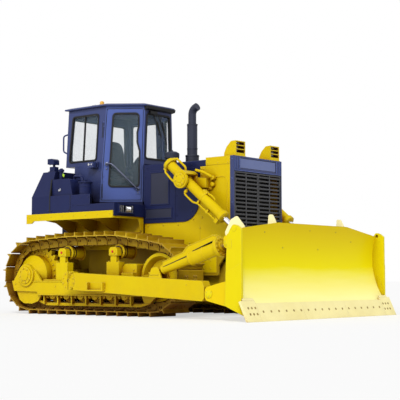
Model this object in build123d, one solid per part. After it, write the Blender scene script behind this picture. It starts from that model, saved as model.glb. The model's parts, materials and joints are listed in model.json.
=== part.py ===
from build123d import *
from math import asin, atan2, cos, hypot, pi, radians, sin
import os

# Crawler bulldozer with a straight tilt blade. Millimetres, +X forward, +Y left, +Z up.
# The origin is on the ground, under the middle of the overall length.

# Driving dimensions
LENGTH = 5750
EDGE_X = LENGTH / 2
GAUGE = 2000
SHOE_WIDTH = 560
PITCH = 216
SHOES = 38
CLEARANCE = 405
BLADE_WIDTH = 3724
BLADE_HEIGHT = 1314
CAB_TOP = 3330
ROOF_PAD = CAB_TOP + 6

# Undercarriage
TRACK_Y = GAUGE / 2
GROUSER = 61
SHOE_PLATE = 13
RAIL_TOP = 204
PIN_LINE = 142
SPROCKET = (-1996, 610)
SPROCKET_R = 468
SPROCKET_TEETH = 27
FINAL_DRIVE_R = 318
IDLER_Z = PIN_LINE + 431
IDLER_R = 356
CARRIER_X = (-1208, -105)
CARRIER_Z = 957
CARRIER_R = 97
ROLLER_STEP = 312
ROLLER_X = [-1470 + ROLLER_STEP * k for k in range(6)]
ROLLER_R = 106
GUARD_GAP = 196
ARM_GAP = 124
BEAM_Y = 1290

# Push arms, pivots of the blade linkage
BALL = (-723, 1500, 525)
ARM_PIN = (2011, 1500, 350)
LIFT_TRUNNION = (925, 800, 1996)
LIFT_PIN = (2305, 800, 872)
TILT_LOW = (1018, 1500, 652)
TILT_HIGH = (2314, 1500, 1027)

# Superstructure
HULL_Y = 577
FENDER_TOP = 1575
FENDER_Y = 1280
HOOD_TOP = 2330
GUARD_FRONT = 1652
FRAME_REAR = 1582
GUARD_TOP_REAR = 1130
GUARD_REAR = 1024
MOUTH_Y = HULL_Y - 2
MOUTH_Z = (1010, 2112)
DECK_TOP = 1690

RIGHT = -1
LEFT = 1


def view_side(points, y_from, y_to):
    """Plate drawn in side view as (x, z) or (x, z, corner radius), from one y to another."""
    return plate([(p[0], y_from, p[1], *p[2:]) for p in points], (0, y_to - y_from, 0))


def view_plan(points, z_from, z_to):
    """Plate drawn in plan as (x, y) or (x, y, corner radius), from one height to another."""
    return plate([(p[0], p[1], z_from, *p[2:]) for p in points], (0, 0, z_to - z_from))


def view_front(points, x_from, x_to):
    """Plate drawn in front view as (y, z) or (y, z, corner radius), from one x to another."""
    return plate([(x_from, p[0], p[1], *p[2:]) for p in points], (x_to - x_from, 0, 0))


def plate(points, travel):
    """Closed outline of (x, y, z, optional corner radius), moved along travel to a solid."""
    face = Face(Wire.make_polygon([Vector(*p[:3]) for p in points], close=True))
    for p in points:
        if len(p) == 4:
            corner = min(face.vertices(), key=lambda v: (Vector(*v) - Vector(*p[:3])).length)
            face = face.fillet_2d(p[3], [corner])
    return Solid.extrude(face, Vector(*travel))


def bar(start, end, radius):
    """Round bar between two points."""
    start, end = Vector(*start), Vector(*end)
    return Solid.make_cylinder(radius, (end - start).length, Plane(start, z_dir=end - start))


def lathe(profile, start, direction):
    """Solid of revolution: profile is (distance along the axis, radius) from the axis and back."""
    plane = Plane(Vector(*start), z_dir=Vector(*direction))
    points = [plane.from_local_coords(Vector(r, 0, s)) for s, r in profile]
    face = Face(Wire.make_polygon(points, close=True))
    return Solid.revolve(face, 360, Axis(plane.origin, plane.z_dir))


def block(x, y, z):
    """Box from three (low, high) pairs."""
    size = [high - low for low, high in (x, y, z)]
    return Solid.make_box(*size, Plane((x[0], y[0], z[0])))


def fuse(pieces):
    """One solid from touching or overlapping pieces."""
    pieces = list(pieces)
    return pieces[0].fuse(*pieces[1:]).clean() if len(pieces) > 1 else pieces[0]


def mirrored(piece):
    """The same piece on the other side of the machine."""
    return piece.mirror(Plane.XZ)


def pair(piece):
    """A right-hand piece and its left-hand twin in one node."""
    return Compound([piece, mirrored(piece)])


# Track: one closed loop of shoes on two rails, laid along the pin line

def loop(idler_x):
    """Runs and arcs of the pin line: (length, start x, start z, start heading, turn rate)."""
    half = PITCH / 2
    seat = RAIL_TOP - PIN_LINE
    wheels = [(SPROCKET[0], SPROCKET[1], SPROCKET_R),
              (CARRIER_X[0], CARRIER_Z, CARRIER_R + seat + 12),
              (CARRIER_X[1], CARRIER_Z, CARRIER_R + seat + 12),
              (idler_x, IDLER_Z, hypot(IDLER_R + seat, half))]
    headings = []
    for a, b in zip(wheels, wheels[1:] + wheels[:1]):
        reach = hypot(b[0] - a[0], b[1] - a[1])
        headings.append(atan2(b[1] - a[1], b[0] - a[0]) - asin((a[2] - b[2]) / reach))
    pieces = []
    for k, (x, z, r) in enumerate(wheels):
        turn = (headings[k - 1] - headings[k]) % (2 * pi)
        begin, leave = headings[k - 1], headings[k]
        pieces.append((r * turn, x - r * sin(begin), z + r * cos(begin), begin, -1 / r))
        x2, z2, r2 = wheels[(k + 1) % 4]
        start = (x - r * sin(leave), z + r * cos(leave))
        stop = (x2 - r2 * sin(leave), z2 + r2 * cos(leave))
        pieces.append((hypot(stop[0] - start[0], stop[1] - start[1]), *start, leave, 0))
    return pieces


def fitted_idler_x():
    """Idler position that makes the loop exactly as long as its shoes."""
    low, high = 500, 1100
    for _ in range(40):
        middle = (low + high) / 2
        if sum(piece[0] for piece in loop(middle)) < SHOES * PITCH:
            low = middle
        else:
            high = middle
    return low


IDLER_X = fitted_idler_x()


def pins():
    """Pin centres (x, z), one pitch apart along the loop."""
    centres = []
    walked = 0
    for length, x, z, heading, rate in loop(IDLER_X):
        while len(centres) * PITCH < walked + length and len(centres) < SHOES:
            s = len(centres) * PITCH - walked
            if rate:
                turned = heading + rate * s
                centres.append((x + (sin(turned) - sin(heading)) / rate,
                                z - (cos(turned) - cos(heading)) / rate))
            else:
                centres.append((x + s * cos(heading), z + s * sin(heading)))
        walked += length
    return centres


def links():
    """Each link as (start pin, unit direction, unit outward normal, its real length)."""
    centres = pins()
    result = []
    for a, b in zip(centres, centres[1:] + centres[:1]):
        span = hypot(b[0] - a[0], b[1] - a[1])
        along = ((b[0] - a[0]) / span, (b[1] - a[1]) / span)
        result.append((a, along, (-along[1], along[0]), span))
    return result


def joint_ring(offset):
    """Polygon through the pins, moved outward by offset."""
    ring = []
    chain = links()
    for before, after in zip(chain[-1:] + chain[:-1], chain):
        nx, nz = before[2][0] + after[2][0], before[2][1] + after[2][1]
        scale = offset * 2 / (nx * nx + nz * nz)
        ring.append((after[0][0] + nx * scale, after[0][1] + nz * scale))
    return ring


def shoe_ring():
    """Outer outline of the shoes, each a flat plate with one tall grouser near its front edge."""
    outline = []
    plate_out = PIN_LINE - GROUSER
    grouser = ((0.70, plate_out), (0.745, PIN_LINE), (0.81, PIN_LINE), (0.86, plate_out))
    for corner, (start, along, normal, span) in zip(joint_ring(plate_out), links()):
        outline.append(corner)
        for share, height in grouser:
            outline.append((start[0] + along[0] * share * span + normal[0] * height,
                            start[1] + along[1] * share * span + normal[1] * height))
    return outline


def ring_solid(outer, inner, y_from, y_to):
    """Closed band between two side-view polygons."""
    wires = [Wire.make_polygon([Vector(x, y_from, z) for x, z in ring], close=True)
             for ring in (outer, inner)]
    return Solid.extrude(Face(wires[0], [wires[1]]), Vector(0, y_to - y_from, 0))


def track_right():
    plate_in = PIN_LINE - GROUSER - SHOE_PLATE
    rail = PIN_LINE - RAIL_TOP
    band = ring_solid(shoe_ring(), joint_ring(plate_in),
                      -TRACK_Y - SHOE_WIDTH / 2, -TRACK_Y + SHOE_WIDTH / 2)
    rails = [ring_solid(joint_ring(plate_in + 5), joint_ring(rail), -TRACK_Y + y, -TRACK_Y + y + 46)
             for y in (-118, 72)]
    return fuse([band, *rails])


def sprocket_right():
    """Toothed ring on the final drive: 27 teeth, each second one carries a pin of the track."""
    x, z = SPROCKET
    outline = []
    for tooth in range(SPROCKET_TEETH):
        middle = 2 * pi * tooth / SPROCKET_TEETH
        for share, radius in ((-0.38, 432), (-0.13, 490), (0.13, 490), (0.38, 432)):
            angle = middle + share * 2 * pi / SPROCKET_TEETH
            outline.append((x + radius * cos(angle), z + radius * sin(angle)))
    ring = view_side(outline, -TRACK_Y - 36, -TRACK_Y + 36)
    return ring - bar((x, -TRACK_Y - 40, z), (x, -TRACK_Y + 40, z), FINAL_DRIVE_R)


def idler_right():
    x, z = IDLER_X, IDLER_Z
    rim = IDLER_R - 2
    half = [(60, rim + 20), (60, rim), (118, rim), (118, rim - 45), (24, rim - 90), (24, 120),
            (ARM_GAP, 120), (ARM_GAP, 0)]
    profile = [(-s, r) for s, r in reversed(half)] + half
    return lathe(profile, (x, -TRACK_Y, z), (0, 1, 0))


def roller(x, z, radius, shaft_in):
    """Double-flanged roller across the rails, on a shaft held at the outer guard."""
    half = [(122, radius), (122, radius + 18), (140, radius + 18), (140, 0)]
    body = lathe([(-s, r) for s, r in reversed(half)] + half, (x, -TRACK_Y, z), (0, 1, 0))
    shaft = block((x - 32, x + 32), (-TRACK_Y - GUARD_GAP, -TRACK_Y + shaft_in), (z - 32, z + 32))
    return fuse([body, shaft])


def carrier_rollers_right():
    return [roller(x, CARRIER_Z, CARRIER_R, 0) for x in CARRIER_X]


def track_rollers_right():
    return [roller(x, RAIL_TOP + ROLLER_R + 1, ROLLER_R, GUARD_GAP) for x in ROLLER_X]


def track_frame_right():
    """Box beam over the rollers, with its outer beam, guard rails, carrier stands and covers."""
    y_out, y_in = -BEAM_Y, -BEAM_Y + 34
    outer = view_side([(-2354, 522), (-2300, 360, 30), (-1760, 350), (-1720, 300, 40), (520, 300, 60),
                       (600, 400, 60), (600, 520, 40)], y_out, y_in)
    beam = fuse([block((-1480, 290), (-1256, -770), (450, 545)),
                 *[block((-1640, -1470), y, (450, 545)) for y in ((-1256, -1160), (-840, -770))]])
    arms = [view_side([(200, 455), (IDLER_X - 60, 455), (IDLER_X + 40, 500, 30),
                       (IDLER_X + 40, 640, 30), (IDLER_X - 80, 640), (200, 545)], y, y + 46)
            for y in (-TRACK_Y - ARM_GAP - 46, -TRACK_Y + ARM_GAP)]
    yoke = block((60, 290), (-1256, -780), (450, 640))
    guards = [view_side([(-1820, 232), (-1820, 200), (-1600, 138), (420, 138), (640, 200), (640, 232),
                         (420, 182), (-1600, 182)], y, y + 20)
              for y in (-TRACK_Y - GUARD_GAP - 20, -TRACK_Y + GUARD_GAP)]
    rock_guards = [view_side([(-2280, 376), (-2200, 216, 60), (-2097, 166, 60), (-1912, 159, 60),
                              (-1762, 201, 60), (-1688, 300, 60), (-1688, 376)], -1256, -1216),
                   view_side([(600, 520), (470, 300, 40), (520, 200, 40), (640, 200), (760, 300, 40),
                              (700, 520)], -1256, -1216)]
    webs = [block((x - ROLLER_STEP / 2 - 12, x - ROLLER_STEP / 2 + 12), y, (160, 470))
            for x in ROLLER_X + [ROLLER_X[-1] + ROLLER_STEP] for y in ((-1256, -1196), (-804, -770))]
    boss = bar((SPROCKET[0], -BEAM_Y - 30, SPROCKET[1]), (SPROCKET[0], -BEAM_Y + 34, SPROCKET[1]), 175)
    shoulder = view_side([(-2330, 500), (-2180, 700, 90), (-1820, 700, 90), (-1640, 500)],
                         y_out, y_in)
    posts = [view_side([(x - 60, 790), (x - 60, CARRIER_Z + 70, 30), (x + 60, CARRIER_Z + 70, 30),
                        (x + 60, 790)], -1256, -1196) for x in CARRIER_X]
    feet = [block((x - 142, x + 110), (-1256, -1130), (500, 805)) for x in CARRIER_X]
    lids = [view_side([(-1440, 545), (-1420, 600, 40), (-1290, 610, 60), (-700, 610, 60),
                       (-600, 545)], -1150, -850),
            view_side([(-80, 540), (-80, 640), (66, 775, 30), (300, 775, 30), (300, 540)], -1180, -820)]
    stub = bar((BALL[0], -BEAM_Y + 5, BALL[2]), (BALL[0], -BALL[1] + 60, BALL[2]), 62)
    base = bar((BALL[0], -BEAM_Y - 24, BALL[2]), (BALL[0], -BEAM_Y + 5, BALL[2]), 120)
    ball = Solid.make_sphere(88, Plane((BALL[0], -BALL[1], BALL[2]), z_dir=(0, 1, 0)), -90, 90, 360)
    ball -= block((BALL[0] - 90, BALL[0] + 90), (-BALL[1] - 90, -BALL[1] - 76), (BALL[2] - 90, BALL[2] + 90))
    return fuse([beam, outer, shoulder, boss, *arms, yoke, *guards, *rock_guards, *webs, *posts,
                 *feet, *lids, base, stub, ball])


def final_drive_right():
    """Stepped final-drive case through the sprocket, dished outside it."""
    profile = [(480, 0), (480, 410), (730, 410), (730, FINAL_DRIVE_R), (1150, FINAL_DRIVE_R),
               (BEAM_Y - 34, 175), (BEAM_Y - 34, 0)]
    return lathe(profile, (SPROCKET[0], 0, SPROCKET[1]), (0, -1, 0))


def main_frame():
    """Steering case, side rails, belly guards and the cross beam that rests on the track frames."""
    y = 480
    case = view_side([(-2560, 560, 40), (-2480, CLEARANCE, 60), (-1300, CLEARANCE), (-1300, 1080),
                      (-2300, 1080, 120), (-2560, 960, 60)], -y, y)
    rails = [view_side([(-1320, CLEARANCE + 60), (1200, CLEARANCE + 60), (1560, 620, 60), (1560, 800),
                        (-1320, 800)], y_low, y_low + 60) for y_low in (-y, y - 60)]
    belly = view_side([(-1320, CLEARANCE), (1140, CLEARANCE), (1580, 600), (1580, 640), (1120, 440),
                       (-1320, 440)], -y, y)
    nose = block((1500, 1580), (-y, y), (600, 900))
    sides = [view_side([(-1300, 600), (1365, 600, 20), (1365, 740), (1500, 900), (GUARD_REAR, 900),
                        (GUARD_REAR, 1010), (-1300, 1010)], side * 573 - 16, side * 573 + 16)
             for side in (RIGHT, LEFT)]
    cross = block((1100, 1200), (-573, 573), (620, 720))
    beam = view_front([(-768, 560, 20), (-300, 480), (300, 480), (768, 560, 20), (768, 690, 20),
                       (300, 720), (-300, 720), (-768, 690, 20)], -160, -30)
    axle = bar((-1430, -770, 620), (-1430, 770, 620), 85)
    drawbar = view_plan([(-2875, -75, 60), (-2875, 75, 60), (-2740, 130), (-2540, 150), (-2540, -150),
                         (-2740, -130)], 480, 530)
    upper = drawbar.moved(Location((0, 0, 170)))
    holes = bar((-2790, 0, 400), (-2790, 0, 760), 30)
    cheeks = view_side([(-2700, 480), (-2540, 480), (-2540, 700), (-2700, 700)], -130, 130)
    clevis = (fuse([drawbar, upper, cheeks]) - holes)
    return fuse([case, *rails, belly, nose, *sides, cross, beam, axle, clevis])


def engine_block():
    """The engine as one plain block, between the side panels under the hood."""
    return block((-150, 1000), (-430, 430), (800, 2080))


def radiator_core():
    return block((1400, 1500), (-500, 500), (940, 2180))


def engine_sides_right():
    """Lower side wall of the engine bay, from the floor plate to the radiator guard."""
    return view_side([(-106, 1010), (GUARD_REAR, 1010), (GUARD_REAR, 2205), (-106, 2205)],
                     -HULL_Y + 4, -HULL_Y + 24)


def side_covers_right():
    """Bolted side cover with a quarter-round lower front corner."""
    return view_side([(-106, 1400), (900, 1400, 330), (1016, 1700, 60), (1016, 2205), (-106, 2205)],
                     -HULL_Y - 10, -HULL_Y + 4)


def hood():
    """Top sheet over the engine with turned-down edges."""
    outer = view_front([(-HULL_Y, 2205), (-HULL_Y, HOOD_TOP - 30, 20), (-300, HOOD_TOP + 10, 200),
                        (300, HOOD_TOP + 10, 200), (HULL_Y, HOOD_TOP - 30, 20), (HULL_Y, 2205)],
                       -106, GUARD_TOP_REAR)
    inner = view_front([(-HULL_Y + 20, 2200), (-HULL_Y + 20, HOOD_TOP - 48), (-300, HOOD_TOP - 12),
                        (300, HOOD_TOP - 12), (HULL_Y - 20, HOOD_TOP - 48), (HULL_Y - 20, 2200)],
                       -120, GUARD_TOP_REAR + 10)
    return outer - inner


def radiator_guard():
    """Heavy sides and top round the radiator, open to the front frame."""
    outer = view_side([(GUARD_REAR, 900), (FRAME_REAR, 900), (FRAME_REAR, HOOD_TOP),
                       (GUARD_TOP_REAR, HOOD_TOP), (GUARD_TOP_REAR, 2205), (GUARD_REAR, 2205)],
                      -HULL_Y - 12, HULL_Y + 12)
    inner = block((GUARD_REAR - 10, GUARD_FRONT), (-HULL_Y + 20, HULL_Y - 20), (940, HOOD_TOP - 30))
    return outer - inner


def front_frame():
    """Frame in front of the radiator guard: thin sides, the sill and the deep band over the grille."""
    outer = block((FRAME_REAR, GUARD_FRONT), (-HULL_Y - 12, HULL_Y + 12), (900, HOOD_TOP))
    mouth = block((FRAME_REAR - 10, GUARD_FRONT + 10), (-MOUTH_Y, MOUTH_Y), MOUTH_Z)
    band = block((GUARD_FRONT - 8, GUARD_FRONT + 10), (-440, 440), (2150, 2304))
    return outer - mouth - band


def grille_right():
    """One half of the hinged grille: a frame with level slats and an upright."""
    x = GUARD_FRONT - 36
    z_low, z_high = MOUTH_Z[0] + 6, MOUTH_Z[1] - 6
    y_hinge, y_mid = -MOUTH_Y + 6, -6
    frame = block((x, x + 30), (y_hinge, y_mid), (z_low, z_high))
    frame -= block((x - 5, x + 40), (y_hinge + 26, y_mid - 18), (z_low + 30, z_high - 22))
    slats = [block((x + 2, x + 26), (y_hinge + 20, y_mid - 12), (z, z + 24))
             for z in range(z_low + 56, z_high - 50, 57)]
    upright = block((x, x + 28), (y_hinge / 2 - 14, y_hinge / 2 + 8), (z_low + 20, z_high - 10))
    return fuse([frame, *slats, upright])


def headlamp_box_right():
    """Open-fronted lamp box on the radiator guard, its back drawn in towards the top."""
    outer = view_side([(1430, HOOD_TOP), (GUARD_FRONT - 6, HOOD_TOP), (GUARD_FRONT - 6, HOOD_TOP + 222),
                       (1560, HOOD_TOP + 218, 40), (1478, HOOD_TOP + 140, 60),
                       (1432, HOOD_TOP + 50, 40)], -537, -308)
    hollow = block((1540, GUARD_FRONT), (-519, -326), (HOOD_TOP + 46, HOOD_TOP + 206))
    bars = [block((1600, 1651), (-522, -323), (HOOD_TOP + z, HOOD_TOP + z + 12)) for z in (92, 148)]
    return fuse([outer - hollow, *bars])


def exhaust_stack():
    x = 369
    base = HOOD_TOP + 11
    pipe = [bar((x, 0, base), (x, 0, base + 130), 105), bar((x, 0, base + 120), (x, 0, 2960), 80),
            bar((x, 0, 2950), (x, 0, 3110), 62)]
    bend = Solid.revolve(Face(Wire.make_circle(62, Plane((x, 0, 3110)))), 65,
                         Axis((x + 110, 0, 3110), (0, 1, 0)))
    end = bend.faces().sort_by(Axis.X)[-1]
    mouth = bar(tuple(end.center()), tuple(end.center() + Vector(0.906, 0, 0.423) * 45), 62)
    return fuse([*pipe, bend, mouth])


def air_precleaner():
    x, y, z = 180, -260, HOOD_TOP + 12
    return lathe([(0, 0), (0, 60), (60, 60), (70, 110), (150, 110), (175, 70), (175, 0)],
                 (x, y, z), (0, 0, 1))


def fender_right():
    """Fender: edge band round its outer side and front, top sheet, inner wall and ribs."""
    rear, front = -2030, -106
    low = 1465
    top = block((rear, front), (-FENDER_Y, -600), (FENDER_TOP - 14, FENDER_TOP))
    band = view_side([(rear, 1427), (-1910, 1427, 40), (-1860, low, 40), (front, low), (front, FENDER_TOP),
                      (rear, FENDER_TOP)], -FENDER_Y, -FENDER_Y + 20)
    wall = view_side([(-1980, FENDER_TOP - 14), (-1980, 1423), (-1600, 1400, 150), (-1500, 1010),
                      (front, 1010), (front, FENDER_TOP - 14)], -620, -600)
    ribs = [view_front([(-FENDER_Y + 10, low), (-1040, low - 30, 80), (-760, 1290), (-610, 1290),
                        (-610, FENDER_TOP - 10), (-FENDER_Y + 10, FENDER_TOP - 10)], x, x + 14)
            for x in (-1600, -1109, -623)]
    end = view_front([(-FENDER_Y, low), (-702, low, 60), (-664, 1290), (-600, 1290), (-600, FENDER_TOP),
                      (-FENDER_Y, FENDER_TOP)], front - 14, front)
    return fuse([top, band, wall, *ribs, end])


def cowl():
    """Blue cover between the cab's front wall and the engine bay, open below."""
    outer = view_plan([(-336, -372), (-110, -577), (-110, 577), (-336, 372)], 1745, 2325)
    inner = view_plan([(-316, -350), (-90, -557), (-90, 557), (-316, 350)], 1700, 2305)
    return outer - inner


def fuel_tank():
    """Rear tank over the full width, its top drawn in on all outer sides."""
    low = block((-1925, -1504), (-1265, 1265), (FENDER_TOP, 1850))
    bottom = Wire.make_polygon([Vector(x, y, 1850) for x, y in
                                ((-1925, -1265), (-1504, -1265), (-1504, 1265), (-1925, 1265))])
    top = Wire.make_polygon([Vector(x, y, 2250) for x, y in
                             ((-1785, -1150), (-1504, -1150), (-1504, 1150), (-1785, 1150))])
    upper = Solid.make_loft([bottom, top], ruled=True)
    middle = block((-1925, -1504), (-600, 600), (1100, FENDER_TOP + 10))
    return fuse([low, upper, middle])


def hydraulic_tank():
    return fuse([block((-1500, -1042), (-1265, -790), (FENDER_TOP, 1850)),
                 view_side([(-1500, 1845), (-1030, 1845), (-1100, 2112, 70), (-1500, 2112)],
                           -1225, -800)])


def battery_box():
    return fuse([block((-1500, -1042), (790, 1265), (FENDER_TOP, 1850)),
                 view_side([(-1490, 1845), (-1060, 1845), (-1060, 1960, 20), (-1490, 1960, 20)],
                           810, 1240)])


def filter_canister():
    profile = [(0, 0), (0, 108), (12, 108), (12, 95), (345, 95), (345, 112), (362, 112), (372, 60),
               (372, 0)]
    return lathe(profile, (-873, -1100, DECK_TOP), (0, 0, 1))


def deck_right():
    """Floor plate box ahead of the tanks, its front panel with the vent box and an upright edge panel."""
    floor = block((-1038, -106), (-1262, -602), (FENDER_TOP, DECK_TOP))
    panel = block((-106, -88), (-1262, -590), (1496, DECK_TOP))
    vent = block((-92, -52), (-1190, -865), (1530, 1668))
    vent -= block((-70, -40), (-1176, -879), (1544, 1654))
    edge = block((-1038, -600), (-1262, -1242), (DECK_TOP - 10, 1846))
    return fuse([floor, panel, vent, edge])


def lift_yoke_right():
    """Fork on the radiator guard that carries the lift cylinder's trunnions."""
    x, y, z = LIFT_TRUNNION
    pad = view_side([(x + 110, z + 60, 30), (x + 340, z + 60, 30), (x + 340, z - 150, 30),
                     (x + 110, z - 150, 30)], -HULL_Y - 46, -HULL_Y - 12)
    cheeks = [bar((x, -y + a, z), (x, -y + b, z), 128) for a, b in ((-136, -96), (96, 136))]
    stem = view_side([(x - 60, z + 60), (x + 300, z + 20), (x + 300, z - 120), (x - 60, z - 90)],
                     -y + 100, -HULL_Y - 40)
    rays = (cos(radians(34)), sin(radians(34)))
    section = Wire.make_polygon([Vector(x + r * rays[0], w - y, z + r * rays[1]) for r, w in
                                 ((112, -136), (142, -136), (142, 136), (112, 136))])
    strap = Solid.revolve(Face(section), 48, Axis((x, -y, z), (0, -1, 0)))
    bores = bar((x, -y - 150, z), (x, -y + 150, z), 43)
    return fuse([pad, *cheeks, stem, strap]) - bores


# Blade, push arms and cylinders, all drawn lowered to the ground

def moldboard_arc(shift):
    """Concave side-view curve of the moldboard, moved back by shift."""
    return Edge.make_three_point_arc((2731 - shift, 0, 224 - shift / 3), (2524 - shift, 0, 720),
                                     (2635 - shift, 0, BLADE_HEIGHT))


def arc_plate(curve, rest, y_from, y_to):
    """Solid bounded in side view by a curve and the straight lines through the rest."""
    points = [curve @ 1, *[Vector(x, 0, z) for x, z in rest], curve @ 0]
    lines = [Edge.make_line(a, b) for a, b in zip(points, points[1:])]
    face = Face(Wire([curve, *lines])).moved(Location((0, y_from, 0)))
    return Solid.extrude(face, Vector(0, y_to - y_from, 0))


def blade_front():
    """Everything in front of the moldboard's face."""
    half = BLADE_WIDTH / 2
    return arc_plate(moldboard_arc(0), [(3000, BLADE_HEIGHT), (3000, 0), (2838, 0)], -half, half)


def blade():
    """Moldboard with the box beams and ribs behind it."""
    inner = BLADE_WIDTH / 2 - 92
    skin = arc_plate(moldboard_arc(0), [(2600, BLADE_HEIGHT), (2500, 1000), (2494, 720), (2560, 400),
                                        (2700, 130), (2760, 98)], -inner, inner)
    top_line = view_front([(-inner, 60), (-inner, 1190), (-1638, 1214), (-854, BLADE_HEIGHT),
                           (854, BLADE_HEIGHT), (1638, 1214), (inner, 1190), (inner, 60)], 2400, 2900)
    low_beam = view_side([(2440, 190, 30), (2440, 560, 20), (2540, 660), (2700, 660), (2760, 98),
                          (2640, 110)], -inner, inner)
    high_beam = view_side([(2440, 1000, 20), (2440, 1110, 20), (2560, 1210), (2660, 1210),
                           (2660, 960)], -inner, inner)
    ribs = [view_side([(2450, 200), (2450, 1100), (2560, 1200), (2700, 1200), (2700, 200)], y - 12, y + 12)
            for y in (-1350, -1150, -400, 0, 400, 1150, 1350)]
    return (fuse([skin, low_beam, high_beam, *ribs]) & top_line) - blade_front()


def blade_ends():
    """End plates of the blade, each with a lifting eye."""
    half = BLADE_WIDTH / 2 - 62
    eyes = bar((2600, -2000, 1203), (2600, 2000, 1203), 24)
    plates = [view_side([(2450, 197), (2462, 740), (2488, 1110), (2533, 1195, 30), (2578, 1252, 30),
                         (2615, 1252, 40), (2660, 1236), (2718, 1192), (2720, 272), (2708, 262),
                         (2796, 76), (2760, 72)],
                        y - 15, y + 15) for y in (-half + 15, half - 15)]
    return Compound([p - eyes for p in plates])


def pinned_ears(outline, y, gap, thickness, pin):
    """Two like ears, a gap apart about y, with a pin (x, z, radius) between them."""
    ears = [view_side(outline, y + a, y + a + thickness) for a in (-gap / 2 - thickness, gap / 2)]
    return fuse([*ears, bar((pin[0], y - gap / 2 - 2, pin[1]), (pin[0], y + gap / 2 + 2, pin[1]), pin[2])])


def blade_ears():
    """Ears behind the blade for arms, tilt cylinder or brace and lift cylinders, and three top horns."""
    arm_x, _, arm_z = ARM_PIN
    lift_x, lift_y, lift_z = LIFT_PIN
    tilt_x, _, tilt_z = TILT_HIGH
    core = fuse([blade(), blade_front()])
    ears = []
    for side in (RIGHT, LEFT):
        arm_y = side * BALL[1]
        ears.append(pinned_ears([(2470, 150), (arm_x - 75, arm_z - 85, 70), (arm_x - 75, arm_z + 85, 70),
                                 (2470, 560)], arm_y, 124, 34, (arm_x, arm_z, 36)))
        ears.append(pinned_ears([(tilt_x - 60, tilt_z - 60, 60), (2255, 1110, 40), (2400, 1170, 20),
                                 (2520, 1170), (2520, 900)], arm_y, 120, 26, (tilt_x, tilt_z, 28)))
        ears += [view_side([(2510, 640), (lift_x - 65, lift_z - 70, 60), (lift_x - 65, lift_z + 70, 60),
                            (2510, 1090)], side * lift_y + y, side * lift_y + y + 30) for y in (-155, 125)]
        ears.append(view_side([(2440, 1150), (2470, 1425, 20), (2530, 1425, 20), (2628, 1240),
                               (2560, 1150)], side * 855 - 14, side * 855 + 14))
    ears[1] = ears[1].fuse(view_side([(2300, 1040), (2281, 1171, 20), (2377, 1334, 20), (2474, 1378, 16),
                                      (2640, 1190), (2520, 900)], -BALL[1] - 86, -BALL[1] - 60)).clean()
    return Compound([ear - core for ear in ears])


def cutting_edges():
    """Bolt-on edges: three middle lengths and a wider bit at each end, 3 mm apart."""
    outline = [(EDGE_X, 0), (2764, 236), (2733, 222), (2838, 0)]
    joints = [-1560, -540, 540, 1560]
    middle = [view_side([(x, z) for x, z in outline], a + 1.5, b - 1.5)
              for a, b in zip(joints, joints[1:])]
    bits = [view_side([(EDGE_X, 0), (2748, 270), (2717, 256), (2838, 0)], *ends)
            for ends in ((-BLADE_WIDTH / 2, -1561.5), (1561.5, BLADE_WIDTH / 2))]
    return Compound([*middle, *bits])


def socket(x_from, x_to):
    """Slice of the drum over the trunnion ball, still without its hollow."""
    x, y, z = BALL[0], -BALL[1], BALL[2]
    drum = bar((x, y - 88, z), (x, y + 62, z), 138)
    return drum & block((x + x_from, x + x_to), (y - 120, y + 120), (z - 200, z + 200))


def socket_hollow():
    """Room for the ball and its neck."""
    x, y, z = BALL[0], -BALL[1], BALL[2]
    ball = Solid.make_sphere(91, Plane((x, y, z)), -90, 90, 360)
    return fuse([ball, bar((x, y, z), (x, y + 100, z), 78)])


def arm_body(socket_from):
    """Box-section push arm on the right with its socket, eye, tilt bracket and foot step."""
    y = -BALL[1]
    box = view_side([(BALL[0] + 100, 642), (1880, 523), (1916, 440, 30), (1916, 290, 30), (1880, 250),
                     (BALL[0] + 100, 386)], y - 85, y + 65)
    eye = view_side([(1880, 256), (1880, 450), (ARM_PIN[0] + 80, 430, 70), (ARM_PIN[0] + 80, 270, 70)],
                    y - 40, y + 40)
    lugs = [view_side([(900, 555), (TILT_LOW[0] - 62, TILT_LOW[2] + 62, 60),
                       (TILT_LOW[0] + 62, TILT_LOW[2] + 62, 60), (1150, 540)], y + a, y + a + 24)
            for a in (-80, 56)]
    pin = bar((TILT_LOW[0], y - 58, TILT_LOW[2]), (TILT_LOW[0], y + 58, TILT_LOW[2]), 28)
    step = block((-285, 47), (y - 145, y - 80), (374, 500))
    step -= block((-265, 27), (y - 160, y - 86), (394, 510))
    eye_hole = bar((ARM_PIN[0], y - 50, ARM_PIN[2]), (ARM_PIN[0], y + 50, ARM_PIN[2]), 50)
    solid = fuse([socket(socket_from, 200), box, eye, *lugs, pin, step])
    return solid - eye_hole - socket_hollow()


def push_arm_right():
    return arm_body(4)


def trunnion_cap_right():
    return socket(-200, -10) - socket_hollow()


def push_arm_left():
    """The left arm is one with its cap; the blade is braced rigidly to it."""
    return mirrored(arm_body(-200))


def between(a, b, s):
    """Point at the distance s from a towards b, both given for the right side as (x, y, z)."""
    start, end = Vector(a[0], -a[1], a[2]), Vector(b[0], -b[1], b[2])
    return start + (end - start).normalized() * s


def span(a, b):
    return (Vector(*b) - Vector(*a)).length


def stepped_bar(a, b, steps):
    """Round pieces along the line a-b: each step is (from, to, radius)."""
    return [bar(between(a, b, s), between(a, b, t), r) for s, t, r in steps]


def pin_eye(point, radius, width, hole):
    """Round eye across the machine, on the right side."""
    x, y, z = point[0], -point[1], point[2]
    return bar((x, y - width / 2, z), (x, y + width / 2, z), radius), \
        bar((x, y - width, z), (x, y + width, z), hole)


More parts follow.
